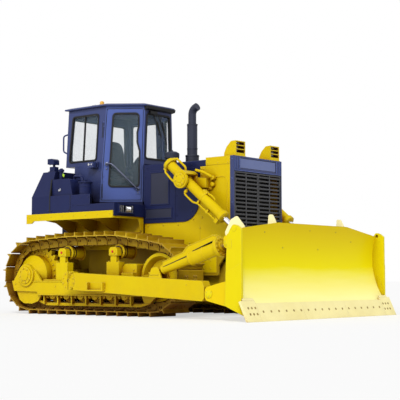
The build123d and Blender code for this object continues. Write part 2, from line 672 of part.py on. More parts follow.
def tilt_barrel():
    """Barrel of the tilt cylinder: slim tail, wide front with its flange, and the hose guard."""
    tail, hole = pin_eye(TILT_LOW, 56, 96, 34)
    body = stepped_bar(TILT_LOW, TILT_HIGH, [(20, 110, 44), (104, 640, 66), (630, 1160, 96),
                                             (1150, 1190, 138)])
    bore = stepped_bar(TILT_LOW, TILT_HIGH, [(700, 1240, 44)])
    guard = view_side([(1150, 781), (1528, 909, 60), (1608, 993, 60), (2049, 1129, 40), (2120, 1112),
                       (2126, 1079), (2049, 1057), (1704, 931), (1672, 889), (1168, 718), (1150, 712)],
                      -BALL[1] - 60, -BALL[1] + 60)
    return fuse([tail, *body, guard]) - hole - bore[0]


def tilt_rod():
    end = span(TILT_LOW, TILT_HIGH)
    eye, hole = pin_eye(TILT_HIGH, 64, 84, 42)
    return fuse([eye, *stepped_bar(TILT_LOW, TILT_HIGH, [(775, end - 30, 40)])]) - hole


def brace_left():
    """Rigid brace in the tilt cylinder's place on the left arm."""
    end = span(TILT_LOW, TILT_HIGH)
    tail, hole_a = pin_eye(TILT_LOW, 56, 112, 28)
    head, hole_b = pin_eye(TILT_HIGH, 58, 120, 28)
    tube = stepped_bar(TILT_LOW, TILT_HIGH, [(20, 260, 48), (250, 1080, 66), (1060, end - 30, 48)])
    return mirrored(fuse([tail, head, *tube]) - hole_a - hole_b)


def lift_barrel_right():
    """Lift cylinder's barrel with its trunnion ring, tail cap and gland."""
    a, b = LIFT_TRUNNION, LIFT_PIN
    x, y, z = a[0], -a[1], a[2]
    body = stepped_bar(a, b, [(-400, 900, 74), (-425, -365, 100), (-50, 50, 86), (872, 922, 90)])
    trunnion = bar((x, y - 134, z), (x, y + 134, z), 39)
    bore = stepped_bar(a, b, [(-345, 960, 42)])
    return fuse([*body, trunnion]) - bore[0]


def lift_rod_right():
    a, b = LIFT_TRUNNION, LIFT_PIN
    end = span(a, b)
    eye, hole = pin_eye(b, 58, 90, 36)
    return fuse([eye, *stepped_bar(a, b, [(end - 1425, end - 30, 38)])]) - hole


# Cab: six leaning walls between corner lines, given for the right side and mirrored

CAB_LOW, CAB_HIGH = 1760, 3285
WALL = 50
CORNERS_LOW = [(-1690, -780), (-880, -780), (-345, -370), (-345, 370), (-880, 780), (-1690, 780)]
CORNERS_HIGH = [(-1690, -690), (-830, -690), (-345, -318), (-345, 318), (-830, 690), (-1690, 690)]
SIDE_WALL, DOOR_WALL, FRONT_WALL, REAR_WALL = 0, 1, 2, 5
DOOR = [(24, 1790, 20), (648, 1790, 20), (678, 3235, 20), (112, 3235, 20)]
DOOR_WINDOW = [(140, 2000, 60), (618, 2000, 60), (628, 2560, 40), (590, 2700, 30), (588, 2860, 30),
               (612, 2960, 20), (612, 3165, 60), (205, 3165, 60)]
SIDE_WINDOW = [(75, 2430, 50), (690, 2430, 50), (700, 3170, 50), (115, 3170, 50)]
FRONT_WINDOW = [(60, 2450, 50), (680, 2450, 50), (640, 3170, 50), (100, 3170, 50)]
REAR_WINDOW = [(130, 2450, 50), (1430, 2450, 50), (1400, 3150, 50), (160, 3150, 50)]


def inset(corners, distance):
    """Plan polygon moved inward; its corners run counter-clockwise seen from above."""
    moved = []
    for before, corner, after in zip(corners[-1:] + corners[:-1], corners, corners[1:] + corners[:1]):
        a = Vector(corner[0] - before[0], corner[1] - before[1]).normalized()
        b = Vector(after[0] - corner[0], after[1] - corner[1]).normalized()
        bisector = Vector(-a.Y - b.Y, a.X + b.X)
        scale = 2 * distance / bisector.length ** 2
        moved.append((corner[0] + bisector.X * scale, corner[1] + bisector.Y * scale))
    return moved


def wall(k, skin=0, thickness=WALL):
    """Mitred slab of wall k, its outer face moved inward by skin."""
    quads = []
    for corners, z in ((CORNERS_LOW, CAB_LOW), (CORNERS_HIGH, CAB_HIGH)):
        outer, inner = inset(corners, skin), inset(corners, skin + thickness)
        j = (k + 1) % 6
        quads.append(Wire.make_polygon([Vector(*p, z) for p in (outer[k], outer[j], inner[j], inner[k])]))
    return Solid.make_loft(quads, ruled=True)


def wall_prism(k, outline, margin=0):
    """Prism through wall k: outline is (distance from the first low corner, height, radius)."""
    start, stop = (Vector(*CORNERS_LOW[i]) for i in (k, (k + 1) % 6))
    along = (stop - start).normalized()
    inward = Vector(-along.Y, along.X)
    lean = (Vector(*CORNERS_HIGH[k]) - start).dot(inward) / (CAB_HIGH - CAB_LOW)
    middle = (sum(p[0] for p in outline) / len(outline), sum(p[1] for p in outline) / len(outline))
    points = []
    for s, z, *radius in outline:
        s += margin if s > middle[0] else -margin
        z += margin if z > middle[1] else -margin
        place = start + along * s + inward * (lean * (z - CAB_LOW) - 100)
        points.append((place.X, place.Y, z, *radius))
    return plate(points, tuple(inward * 220))


def cab_door_frame_right():
    """Front quarter wall round the door opening."""
    return wall(DOOR_WALL) - wall_prism(DOOR_WALL, DOOR, 10)


def door_right():
    """Door leaf with its window opening."""
    return (wall(DOOR_WALL) & wall_prism(DOOR_WALL, DOOR)) - wall_prism(DOOR_WALL, DOOR_WINDOW)


def door_glass_right():
    return wall(DOOR_WALL, 18, 6) & wall_prism(DOOR_WALL, DOOR_WINDOW, -0.5)


def cab_sides_right():
    """Side wall, cut away low at the back over the tank."""
    notch = block((-1800, -1484), (-900, -600), (1700, 2352))
    return wall(SIDE_WALL) - notch - wall_prism(SIDE_WALL, SIDE_WINDOW)


def cab_front():
    return wall(FRONT_WALL) - wall_prism(FRONT_WALL, FRONT_WINDOW)


def cab_rear():
    """Upper rear wall with its window, the ledge over the tank and the wall below it."""
    upper = wall(REAR_WALL) - block((-1800, -1500), (-900, 900), (1700, 2352))
    upper -= wall_prism(REAR_WALL, REAR_WINDOW)
    ledge = block((-1640, -1434), (-690, 690), (2352, 2392))
    lower = block((-1484, -1434), (-690, 690), (CAB_LOW, 2360))
    return fuse([upper, ledge, lower])


def cab_glass():
    """Fixed panes of the front, side and rear walls."""
    side = wall(SIDE_WALL, 18, 6) & wall_prism(SIDE_WALL, SIDE_WINDOW, -0.5)
    front = wall(FRONT_WALL, 18, 6) & wall_prism(FRONT_WALL, FRONT_WINDOW, -0.5)
    rear = wall(REAR_WALL, 18, 6) & wall_prism(REAR_WALL, REAR_WINDOW, -0.5)
    return Compound([side, mirrored(side), front, rear])


def cab_roof():
    """Overhanging roof with chamfered edges and the flat pad on its crown."""
    eave = inset(CORNERS_HIGH, -48)
    low = view_plan(eave, CAB_HIGH, CAB_HIGH + 22)
    quads = [Wire.make_polygon([Vector(*p, z) for p in inset(CORNERS_HIGH, edge)])
             for edge, z in ((-48, CAB_HIGH + 22), (20, CAB_TOP))]
    crown = Solid.make_loft(quads, ruled=True)
    pad = block((-1400, -800), (-300, 300), (CAB_TOP - 4, ROOF_PAD))
    return fuse([low, crown, pad])


def beacon():
    """Warning beacon on the roof."""
    return lathe([(0, 0), (0, 46), (16, 46), (16, 38), (60, 34), (72, 20), (72, 0)],
                 (-1060, -560, CAB_TOP), (0, 0, 1))


def cab_floor():
    """Floor plate of the cab on its box, over the transmission."""
    floor = view_plan([(-1480, -776), (-882, -776), (-345, -366), (-345, 366), (-882, 776),
                       (-1480, 776)], CAB_LOW - 60, CAB_LOW - 1)
    box = block((-1480, -350), (-560, 560), (1084, CAB_LOW - 50))
    hollow = block((-1450, -380), (-530, 530), (1070, CAB_LOW - 80))
    return fuse([floor, box - hollow])


def operator_seat():
    x = -1130
    base = block((x - 220, x + 200), (-210, 210), (CAB_LOW, CAB_LOW + 330))
    cushion = block((x - 250, x + 260), (-265, 265), (CAB_LOW + 330, CAB_LOW + 470))
    back = view_side([(x - 240, CAB_LOW + 440), (x - 120, CAB_LOW + 440), (x - 190, CAB_LOW + 1080, 40),
                      (x - 290, CAB_LOW + 1080, 40)], -255, 255)
    rests = [block((x - 200, x + 150), (y - 45, y + 45), (CAB_LOW + 560, CAB_LOW + 620))
             for y in (-330, 330)]
    posts = [block((x - 150, x - 70), (y - 25, y + 25), (CAB_LOW, CAB_LOW + 570)) for y in (-330, 330)]
    return Compound([fuse([base, cushion, back]), *[fuse([r, p]) for r, p in zip(rests, posts)]])


def console():
    """Dash under the front window with its side cheeks."""
    return view_side([(-400, CAB_LOW), (-400, CAB_LOW + 700), (-520, CAB_LOW + 720, 30),
                      (-640, CAB_LOW + 600, 30), (-560, CAB_LOW)], -300, 300)


SINGLE = [main_frame, engine_block, radiator_core, hood, radiator_guard, front_frame,
          exhaust_stack, air_precleaner, cowl, fuel_tank, hydraulic_tank, battery_box,
          filter_canister, blade, blade_ends, blade_ears, cutting_edges, tilt_barrel, tilt_rod,
          brace_left,
          cab_front, cab_rear, cab_glass, cab_roof, beacon, cab_floor, operator_seat, console]
RIGHT_ONLY = [trunnion_cap_right, push_arm_right, push_arm_left]
BOTH_SIDES = {"track": track_right, "track_frame": track_frame_right, "grille": grille_right,
              "lift_barrel": lift_barrel_right, "lift_rod": lift_rod_right, "door": door_right,
              "door_glass": door_glass_right}
PAIRS = {"sprockets": sprocket_right, "idlers": idler_right, "final_drives": final_drive_right,
         "engine_sides": engine_sides_right, "side_covers": side_covers_right,
         "headlamp_boxes": headlamp_box_right, "fenders": fender_right, "decks": deck_right,
         "lift_yokes": lift_yoke_right, "cab_door_frames": cab_door_frame_right,
         "cab_sides": cab_sides_right}
ROWS = {"carrier_rollers": carrier_rollers_right, "track_rollers": track_rollers_right}

if __name__ == "__main__":
    os.makedirs("parts", exist_ok=True)
    nodes = {make.__name__: make() for make in SINGLE + RIGHT_ONLY}
    for name, make in BOTH_SIDES.items():
        nodes[name + "_right"] = make()
        nodes[name + "_left"] = mirrored(nodes[name + "_right"])
    for name, make in PAIRS.items():
        nodes[name] = pair(make())
    for name, make in ROWS.items():
        pieces = make()
        nodes[name] = Compound(pieces + [mirrored(piece) for piece in pieces])
    for name, shape in nodes.items():
        export_step(shape, f"parts/{name}.step")
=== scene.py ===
import json
from math import cos, pi, radians, sin

import bmesh
import bpy
from mathutils import Matrix, Vector


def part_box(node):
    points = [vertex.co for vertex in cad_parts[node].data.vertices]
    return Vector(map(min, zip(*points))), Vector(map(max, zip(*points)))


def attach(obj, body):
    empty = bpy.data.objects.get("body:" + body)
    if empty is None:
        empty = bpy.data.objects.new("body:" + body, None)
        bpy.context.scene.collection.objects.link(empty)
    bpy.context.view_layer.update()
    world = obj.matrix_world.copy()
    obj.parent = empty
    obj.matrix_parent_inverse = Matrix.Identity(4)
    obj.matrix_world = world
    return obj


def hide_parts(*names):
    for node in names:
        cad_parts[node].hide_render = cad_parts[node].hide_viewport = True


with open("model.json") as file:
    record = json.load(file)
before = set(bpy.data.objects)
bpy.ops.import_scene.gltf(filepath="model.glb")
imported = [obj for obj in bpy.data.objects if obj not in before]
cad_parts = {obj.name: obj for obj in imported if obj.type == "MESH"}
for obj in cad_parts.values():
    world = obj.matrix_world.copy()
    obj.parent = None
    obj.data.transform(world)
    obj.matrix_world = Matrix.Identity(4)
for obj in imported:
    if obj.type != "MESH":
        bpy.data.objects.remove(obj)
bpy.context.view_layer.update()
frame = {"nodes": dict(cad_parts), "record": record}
nodes = frame["nodes"]

# ---------------- studio
# The dozer stands on a plain white floor in a bright room, under a broad lamp high on its
# right front side. It is seen from knee height through a long lens.

CAMERA_PLACE = (11.236, -12.825, 0.558)
CAMERA_PITCH, CAMERA_ROLL, CAMERA_YAW = 94.133, 0.049, 39.871
CAMERA_LENS = 97.6
ROOM_LIGHT = 0.52
LAMPS = {"broad_lamp": ((7, -9, 9), 2, 14), "side_fill": ((-2, -10, 3), 0.75, 60)}
FLOOR_HALF, FLOOR_GLOW = 150, 0.55


class Signal:
    """A socket of a shader. Sums and products on it add Math nodes, so a mask reads as a formula."""

    def __init__(self, tree, socket=None):
        self.tree = tree
        self.socket = socket

    def node(self, kind, inputs=None, output=None, **settings):
        """Any node: the values or links of its sockets, the socket wanted from it, and its settings."""
        made = self.tree.nodes.new("ShaderNode" + kind)
        for key, value in settings.items():
            setattr(made, key, value)
        for key, value in (inputs or {}).items():
            socket = next(s for s in made.inputs if s.identifier == key)
            if isinstance(value, Signal):
                self.tree.links.new(value.socket, socket)
            else:
                socket.default_value = (*value, 1) if socket.type == "RGBA" else value
        found = [s for s in made.outputs if output in (None, s.identifier)]
        return Signal(self.tree, found[0] if found else None)

    def math(self, operation, first, second=0):
        return self.node("Math", {"Value": first, "Value_001": second}, operation=operation)

    def __add__(self, other):
        return self.math("ADD", self, other)

    def __mul__(self, other):
        return self.math("MULTIPLY", self, other)

    def __sub__(self, other):
        return self.math("SUBTRACT", self, other)

    def __rsub__(self, other):
        return self.math("SUBTRACT", other, self)

    __radd__, __rmul__ = __add__, __mul__

    def clamp(self):
        return self.node("Clamp", {"Value": self})

    def mix(self, first, second):
        """Colour between two colours, with this signal as the share of the second."""
        return self.node("Mix", {"Factor_Float": self, "A_Color": first, "B_Color": second},
            "Result_Color", data_type="RGBA")

    def noise(self, scale, detail=2):
        """Cloudy value at this place, 0.5 on average."""
        return self.node("TexNoise", {"Vector": self, "Scale": scale, "Detail": detail})

    def stretched(self, *factors):
        """A place with its axes scaled, so that noise on it turns into streaks."""
        return self.node("VectorMath", {"Vector": self, "Vector_001": factors},
            "Vector", operation="MULTIPLY")

    def bump(self, strength, depth, **normal):
        """Surface normal where this signal is the height, over a rounded Normal if one is given."""
        return self.node("Bump", {"Strength": strength, "Distance": depth, "Height": self, **normal})

    def surface(self, colour, roughness, normal, gloss=0.5, **more):
        """Ends the shader of a material with one Principled surface; more is named as its sockets are."""
        inputs = {key.replace("_", " "): value for key, value in more.items()}
        inputs.update({"Base Color": colour, "Roughness": roughness, "Normal": normal,
            "Specular IOR Level": gloss})
        self.node("OutputMaterial", {"Surface": self.node("BsdfPrincipled", inputs)})


def shader_of(owner):
    """The empty shader of a material or of the world."""
    owner.use_nodes = True
    owner.node_tree.nodes.clear()
    return Signal(owner.node_tree)


def new_finish(name):
    """A material, its empty shader and the place on the machine."""
    made = bpy.data.materials.new(name)
    s = shader_of(made)
    return made, s, s.node("TexCoord", output="Object")


scene = bpy.context.scene
scene.view_settings.view_transform = "Standard"
camera = bpy.data.objects.new("camera", bpy.data.cameras.new("camera"))
camera.data.lens = CAMERA_LENS
camera.data.clip_end = 400
camera.location = CAMERA_PLACE
camera.rotation_euler = [radians(angle) for angle in (CAMERA_PITCH, CAMERA_ROLL, CAMERA_YAW)]
scene.collection.objects.link(camera)
scene.camera = camera

scene.world = bpy.data.worlds.new("bright_room")
room = shader_of(scene.world)
seen = (room.node("LightPath", output="Is Camera Ray") + room.node("LightPath", output="Is Glossy Ray")
    + room.node("LightPath", output="Is Transmission Ray")).clamp()
strength = seen * (1 - ROOM_LIGHT) + ROOM_LIGHT
room.node("OutputWorld", {"Surface": room.node("Background", {"Color": (1, 1, 1), "Strength": strength})})

for name, (place, strength, spread) in LAMPS.items():
    lamp = bpy.data.objects.new(name, bpy.data.lights.new(name, "SUN"))
    lamp.data.energy = strength
    lamp.data.angle = radians(spread)
    lamp.rotation_euler = Vector(place).to_track_quat("Z", "Y").to_euler()
    scene.collection.objects.link(lamp)

floor_mesh = bpy.data.meshes.new("floor")
floor_mesh.from_pydata([(x * FLOOR_HALF, y * FLOOR_HALF, 0)
    for x, y in ((-1, -1), (1, -1), (1, 1), (-1, 1))], [], [(0, 1, 2, 3)])
floor = bpy.data.objects.new("floor", floor_mesh)
scene.collection.objects.link(floor)
floor_mesh.materials.append(bpy.data.materials.new("white_floor"))
ground = shader_of(floor_mesh.materials[0])
matt = ground.node("BsdfPrincipled", {"Base Color": (0.92, 0.92, 0.92), "Roughness": 0.9,
    "Specular IOR Level": 0})
glow = ground.node("Emission", {"Color": (1, 1, 1), "Strength": 1})
share = ground.node("LightPath", output="Is Camera Ray") * FLOOR_GLOW
lit = ground.node("MixShader", {"Fac": share, "Shader": matt, "Shader_001": glow})
ground.node("OutputMaterial", {"Surface": lit})

# ---------------- enamel on the welded body
# Frames, guards, arms and blade are steel plate sprayed with bright yellow machine enamel;
# cab, hood and tanks are sprayed navy, the stack a blackish blue.


def enamel(name, colour, deep, roughness=0.36, coat=0.12, edge_highlight=0.25, ground_shade=0, gloss=0.3, shade=0.9):
    """Sprayed enamel: drifting tone and faint orange peel, with a painted highlight along the edges, painted
    shade in crevices and painted shade in cloudy patches near the ground.
    """
    made, s, place = new_finish(name)
    drift = place.noise(1.3, 4)
    streak = place.stretched(9, 9, 1.2).noise(1, 3)
    peel = place.noise(220)
    rounded = s.node("Bevel", {"Radius": 0.006}, samples=4)
    facing = s.node("VectorMath", {"Vector": rounded, "Vector_001": s.node("NewGeometry", output="Normal")},
        "Value", operation="DOT_PRODUCT")
    edge = ((1 - facing) * 5).clamp()
    tone = ((drift + streak * 0.3 - 0.65) * 1.9 + 0.5).clamp()
    paint = tone.mix(deep, colour)
    # Painted highlight: along rounded edges the colour is lightened towards white.
    paint = (edge * edge_highlight).mix(paint, tuple(c * 0.6 + 0.4 for c in colour))
    # Painted shade: where ambient occlusion finds crevices and recesses, the colour is darkened towards an
    # orange-brown, more so with a larger shade factor.
    nook = s.node("AmbientOcclusion", {"Distance": 0.4}, "AO", samples=4)
    painted_crevice_shade = tuple(c * share for c, share in zip(deep, (0.4, 0.19, 0.1)))
    paint = (((1 - nook) * 2.6 - 0.95) * shade).clamp().mix(paint, painted_crevice_shade)
    rough = (streak - 0.5) * 0.16 + roughness
    # Painted shade near the ground: below about 0.8 m the colour is darkened in cloudy patches towards a dark
    # brown, and made rougher there.
    if ground_shade:
        low = (1 - s.node("SeparateXYZ", {"Vector": place}, "Z") * 1.3).clamp()
        ground_shade_patches = (low * (place.noise(5, 5) * 3.2 - 1).clamp() * ground_shade).clamp()
        paint = ground_shade_patches.mix(paint, (0.3, 0.17, 0.03))
        rough = ground_shade_patches * 0.3 + rough
    bump = peel.bump(0.12, 0.002, Normal=rounded)
    s.surface(paint, rough, bump, gloss, Coat_Weight=coat, Coat_Roughness=0.2)
    return made


yellow = enamel("yellow_enamel", (0.66, 0.505, 0.003), (0.62, 0.43, 0.002), coat=0.02,
    ground_shade=0.2, gloss=0.06, shade=1.2)
# The navy paint comes in lit and shaded copies: navy for the doors and other lit parts, darker copies as
# painted shade for parts in less light.
navy = enamel("navy_enamel", (0.066, 0.106, 0.34), (0.054, 0.086, 0.28), edge_highlight=0.16, gloss=0.2, shade=0.8)
deep_shaded_navy = enamel("deep_navy_enamel", (0.012, 0.018, 0.076), (0.009, 0.013, 0.058), coat=0.05,
    edge_highlight=0.1, gloss=0.1, shade=0.8)
coal = enamel("stack_enamel", (0.022, 0.026, 0.05), (0.014, 0.017, 0.032), 0.5, coat=0, edge_highlight=0.1)
black = enamel("black_enamel", (0.008, 0.008, 0.01), (0.005, 0.005, 0.007), 0.45, coat=0, edge_highlight=0.06)
# The cutting edges' pale cream is partly their own primer and partly painted light, the bright light they
# catch from the floor.
cream = enamel("edge_enamel", (0.9, 0.82, 0.42), (0.86, 0.76, 0.34), 0.5, coat=0, ground_shade=0.1)


def repaint(finish, *names):
    """Gives solids one finish."""
    for name in names:
        nodes[name].data.materials.clear()
        nodes[name].data.materials.append(finish)


PAINTS = {"yellow_paint": yellow, "blue_paint": navy, "dark_paint": black, "edge_steel": cream}
slot_of = {part["node"]: part["material_slot"] for part in frame["record"]["subparts"]}
for name in nodes:
    repaint(PAINTS.get(slot_of[name], black), name)
# A darker copy of the navy on the cab walls, roof and front frame: painted shade.
half_shaded_navy = enamel("mid_navy_enamel", (0.034, 0.049, 0.155), (0.026, 0.038, 0.125),
    edge_highlight=0.14, gloss=0.2, shade=0.8)
repaint(half_shaded_navy, "cab_sides", "cab_rear", "cab_front", "cab_roof", "front_frame")
# The darkest copy of the navy on the tanks, decks, covers and hood: painted shade.
repaint(deep_shaded_navy, "fuel_tank", "hydraulic_tank", "battery_box", "decks", "side_covers", "filter_canister",
    "hood", "cowl", "cab_floor")
# The main frame gets a darker, browner copy of the yellow with strong darkening low down: painted shade on
# the hull sides behind the tracks.
shaded_hull_yellow = enamel("hull_enamel", (0.43, 0.29, 0.005), (0.28, 0.17, 0.004), 0.5, coat=0,
    edge_highlight=0.2, ground_shade=0.6, gloss=0.1)
repaint(shaded_hull_yellow, "main_frame")
repaint(coal, "exhaust_stack", "air_precleaner")

# Ways that bolts and turned forms face; OUT is outward on the right side.
OUT, LEFT, UP, FRONT = (0, -1, 0), (0, 1, 0), (0, 0, 1), (1, 0, 0)
SAME, MIRRORED = Matrix.Identity(4), Matrix.Diagonal((1, -1, 1, 1))
MM = 0.001
SHARP_OVER, SOFTENED_OVER = radians(38), radians(40)


class Form:
    """A mesh made in millimetres, one closed form after another."""

    def __init__(self):
        self.bm = bmesh.new()

    def walls(self, *rows):
        """Faces between rows of points of equal length."""
        for a, b in zip(rows, rows[1:]):
            for i in range(len(a)):
                j = (i + 1) % len(a)
                self.bm.faces.new((a[i], a[j], b[j], b[i]))

    def loft(self, rings):
        """Skin through rings of points of equal length, capped at both ends."""
        rows = [[self.bm.verts.new(p) for p in ring] for ring in rings]
        self.walls(*rows)
        self.bm.faces.new(rows[0])
        self.bm.faces.new(rows[-1])

    def slab(self, outline, low, high, across="y", holes=()):
        """Plate drawn in side view (x, z), or in front view (y, z) if it's across x, with two depths."""
        def put(a, b, depth):
            return (a, depth, b) if across == "y" else (depth, a, b)

        if not holes:
            return self.loft([[put(*p, depth) for p in outline] for depth in (low, high)])
        faces = []
        for depth in (low, high):
            rings = [[self.bm.verts.new(put(*p, depth)) for p in ring] for ring in (outline, *holes)]
            edges = [self.bm.edges.new(pair) for ring in rings for pair in zip(ring, ring[1:] + ring[:1])]
            bmesh.ops.triangle_fill(self.bm, use_beauty=True, edges=edges)
            faces.append(rings)
        for rows in zip(*faces):
            self.walls(*rows)

    def box(self, x, y, z):
        self.slab([(x[0], z[0]), (x[1], z[0]), (x[1], z[1]), (x[0], z[1])], *y)

    def lathe(self, profile, start, direction, sides=24):
        """Turned form: profile is (distance along the axis, radius)."""
        turn = Vector(direction).to_track_quat("Z", "Y").to_matrix()
        rings = [[Vector(start) + turn @ Vector((r * cos(2 * pi * k / sides), r * sin(2 * pi * k / sides), s))
            for k in range(sides)] for s, r in profile]
        self.loft(rings)

    def band(self, low, high, foot, crest, slope, *where):
        """Turned ring between two distances along its axis, with two radii and sloped rims."""
        self.lathe([(low, foot), (low + slope, crest), (high - slope, crest), (high, foot)], *where)

    def rod(self, start, end, radius, sides=16):
        span = Vector(end) - Vector(start)
        self.lathe([(0, radius), (span.length, radius)], start, span, sides)

    def bolt(self, place, direction, size):
        """Hex head on its washer."""
        self.lathe([(-2, size * 1.25), (size * 0.25, size * 1.25)], place, direction, 12)
        self.lathe([(0, size), (size * 0.75, size), (size, size * 0.82)], place, direction, 6)

    def side_bolts(self, y, size, *places):
        """Bolts on an upright face of the right side, at each (x, z)."""
        for x, z in places:
            self.bolt((x, y, z), OUT, size)

    def pipe(self, points, radius, bend, sides=12):
        """Round pipe along straight runs with bent corners."""
        points = [Vector(p) for p in points]
        path = [points[0]]
        for before, corner, after in zip(points, points[1:], points[2:]):
            way_in, way_out = (before - corner), (after - corner)
            cut = min(bend, way_in.length * 0.45, way_out.length * 0.45)
            first, last = corner + way_in.normalized() * cut, corner + way_out.normalized() * cut
            path += [first.lerp(corner, t).lerp(corner.lerp(last, t), t) for t in (0, 0.25, 0.5, 0.75, 1)]
        path.append(points[-1])
        side = (path[1] - path[0]).orthogonal()
        rings = []
        for k, place in enumerate(path):
            along = (path[min(k + 1, len(path) - 1)] - path[max(k - 1, 0)]).normalized()
            side = (side - along * side.dot(along)).normalized()
            other = along.cross(side)
            rings.append([place + (side * cos(2 * pi * i / sides) + other * sin(2 * pi * i / sides))
                * radius for i in range(sides)])
        self.loft(rings)

    def repeat(self, matrices):
        """The forms made so far, once at each matrix."""
        template = bpy.data.meshes.new("template")
        self.bm.to_mesh(template)
        self.bm.clear()
        for matrix in matrices:
            start = len(self.bm.verts)
            self.bm.from_mesh(template)
            self.bm.verts.ensure_lookup_table()
            bmesh.ops.transform(self.bm, matrix=matrix, verts=self.bm.verts[start:])
        bpy.data.meshes.remove(template)

    def twin(self):
        """The forms made so far, and their mirror images on the left side."""
        self.repeat([SAME, MIRRORED])
        return self

    def piece(self, name, finish, slot, body="machine", soften=0, replaces=()):
        """Turns the forms into one visible piece that rides on a body."""
        bmesh.ops.scale(self.bm, vec=(MM, MM, MM), verts=self.bm.verts)
        bmesh.ops.recalc_face_normals(self.bm, faces=self.bm.faces)
        for face in self.bm.faces:
            face.smooth = True
        for edge in self.bm.edges:
            edge.smooth = len(edge.link_faces) == 2 and edge.calc_face_angle() < SHARP_OVER
        mesh = bpy.data.meshes.new(name)
        self.bm.to_mesh(mesh)
        self.bm.free()
        mesh.materials.append(finish)
        made = bpy.data.objects.new(name, mesh)
        scene.collection.objects.link(made)
        if soften:
            softener = made.modifiers.new("soft_edges", "BEVEL")
            softener.width = soften * MM
            softener.segments = 2
            softener.limit_method = "ANGLE"
            softener.angle_limit = SOFTENED_OVER
        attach(made, body)
        if replaces:
            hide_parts(*replaces)
        return made


def turned(angle, radius, centre=(0, 0)):
    """Point on a circle."""
    return centre[0] + radius * cos(angle), centre[1] + radius * sin(angle)


def ring(count, radius, centre=(0, 0), start=0):
    """Points spaced evenly on a circle."""
    return [turned(start + 2 * pi * k / count, radius, centre) for k in range(count)]

# ---------------- tracks
# Each track is 38 forged shoes with one tall grouser, bolted on two strands of links that
# overlap at the pins. The loop lies where the solid track lies, shoe for shoe.

SHOE_HALF = 280
GROUSER_TOP = 142
TIP_FROM_PIN = 745 / 65  # in widths of the grouser's tip
TIP_WIDTH, TIP_SLACK = 14.1, 0.4
STRAND_OUT, STRAND_IN = 118, 72
shoe_profile = [(-20, 70), (-16, 83), (0, 86), (12, 81), (147, 81), (157, 90), (161, 142), (174, 142),
    (180, 92), (190, 81), (202, 79), (214, 68), (224, 52), (216, 48), (203, 64), (185, 67), (4, 67), (-8, 72)]
link_top = [(30, 66), (186, 66), (206, 52)]
link_round = [turned(pi / 2 - 0.55 - k * 0.34, 50, (216, 0)) for k in range(8)]
link_foot = [(182, -60), (34, -60)]
link_back = [turned(-pi / 2 - 0.5 - k * 0.34, 47) for k in range(7)] + [(8, 50)]
link_outline = link_top + link_round + link_foot + link_back
link_holes = [[(x + 10 * cos(2 * pi * k / 10), 10 + 22 * sin(2 * pi * k / 10))
    for k in range(10)] for x in (92, 126)]


def worn_steel(name, colour, deep, roughness, metallic=0.7, scratches=0.35):
    """Bare or thinly coated steel: blotchy tone, fine scratches along the way it rubs."""
    made, s, place = new_finish(name)
    blotch = ((place.noise(14, 5) - 0.5) * 2.4 + 0.5).clamp()
    scratch = place.stretched(12, 260, 90).noise(1, 3)
    rounded = s.node("Bevel", {"Radius": 0.004}, samples=4)
    bump = (scratch + blotch).bump(scratches, 0.001, Normal=rounded)
    s.surface(blotch.mix(deep, colour), (scratch - 0.5) * 0.3 + roughness, bump, Metallic=metallic)
    return made


def track_places(track):
    """Matrix of each shoe: its pin, its run and its outward side, read from the grousers' tips."""
    corners = [v.co / MM for v in track.data.vertices]
    middle = sum(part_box(track.name), Vector()) / 2 / MM
    side = (min if middle.y < 0 else max)(c.y for c in corners)
    tips = {}
    for edge in track.data.edges:
        a, b = (corners[k] for k in edge.vertices)
        if abs(a.y - side) < 0.1 and abs(b.y - side) < 0.1 and abs((a - b).length - TIP_WIDTH) < TIP_SLACK:
            tips[tuple(round(c) for c in (a + b) / 2)] = (a, b)
    places = []
    for a, b in tips.values():
        run = (b - a).normalized()
        out = Vector((-run.z, 0, run.x))
        if out.dot(a - middle) < 0:
            a, b, run, out = b, a, -run, -out
        pin = a - run * ((b - a).length * TIP_FROM_PIN) - out * GROUSER_TOP
        pin.y = middle.y
        places.append(Matrix((run, Vector(LEFT), out)).transposed().to_4x4())
        places[-1].translation = pin
    return places


# The tracks get a darker, browner copy of the yellow enamel with strong crevice darkening: painted shade
# under the shoes and along the chain.
shaded_track_yellow = enamel("track_enamel", (0.52, 0.35, 0.006), (0.32, 0.18, 0.005), 0.5, coat=0, edge_highlight=0.35,
    ground_shade=0.5, gloss=0.12, shade=1.5)
for side in ("right", "left"):
    places = track_places(nodes["track_" + side])
    shoes = Form()
    shoes.slab(shoe_profile, -SHOE_HALF, SHOE_HALF)
    for x in (75, 128):
        for y in (-118, -72, 72, 118):
            shoes.bolt((x, y, 81), UP, 13)
    for y in (-1, 1):
        shoes.slab(link_outline, y * 84, y * 108, holes=link_holes)
        shoes.slab([(26, 40), (58, 10), (66, -60), (34, -60), *link_back], y * 108, y * STRAND_OUT)
        shoes.slab([(182, -60), (110, -60), (110, -30), (170, 40), *link_round], y * STRAND_IN, y * 84)
        shoes.lathe([(0, 24), (2, 24), (3, 18), (1, 12)], (0, y * STRAND_OUT, 0), (0, y, 0), 16)
    shoes.rod((0, -116, 0), (0, 116, 0), 33, 12)
    shoes.repeat(places)
    shoes.piece("track_chain_" + side, shaded_track_yellow, "yellow_paint", replaces=["track_" + side])

# ---------------- rollers and hubs
# Bolted cast caps close the final drives, rollers and idlers of each track frame. Flanges are
# welded along the outer beam, and red plastic plugs sit in the grease holes.

DRIVE = (-1996, 610)
ROLLERS = [(-1470 + 312 * k, 310) for k in range(6)]
CARRIERS = (-1208, -105)
IDLER = (sum(c.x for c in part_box("idlers")) / 2 / MM, 573)
BALL_PIN = (-723, 525)

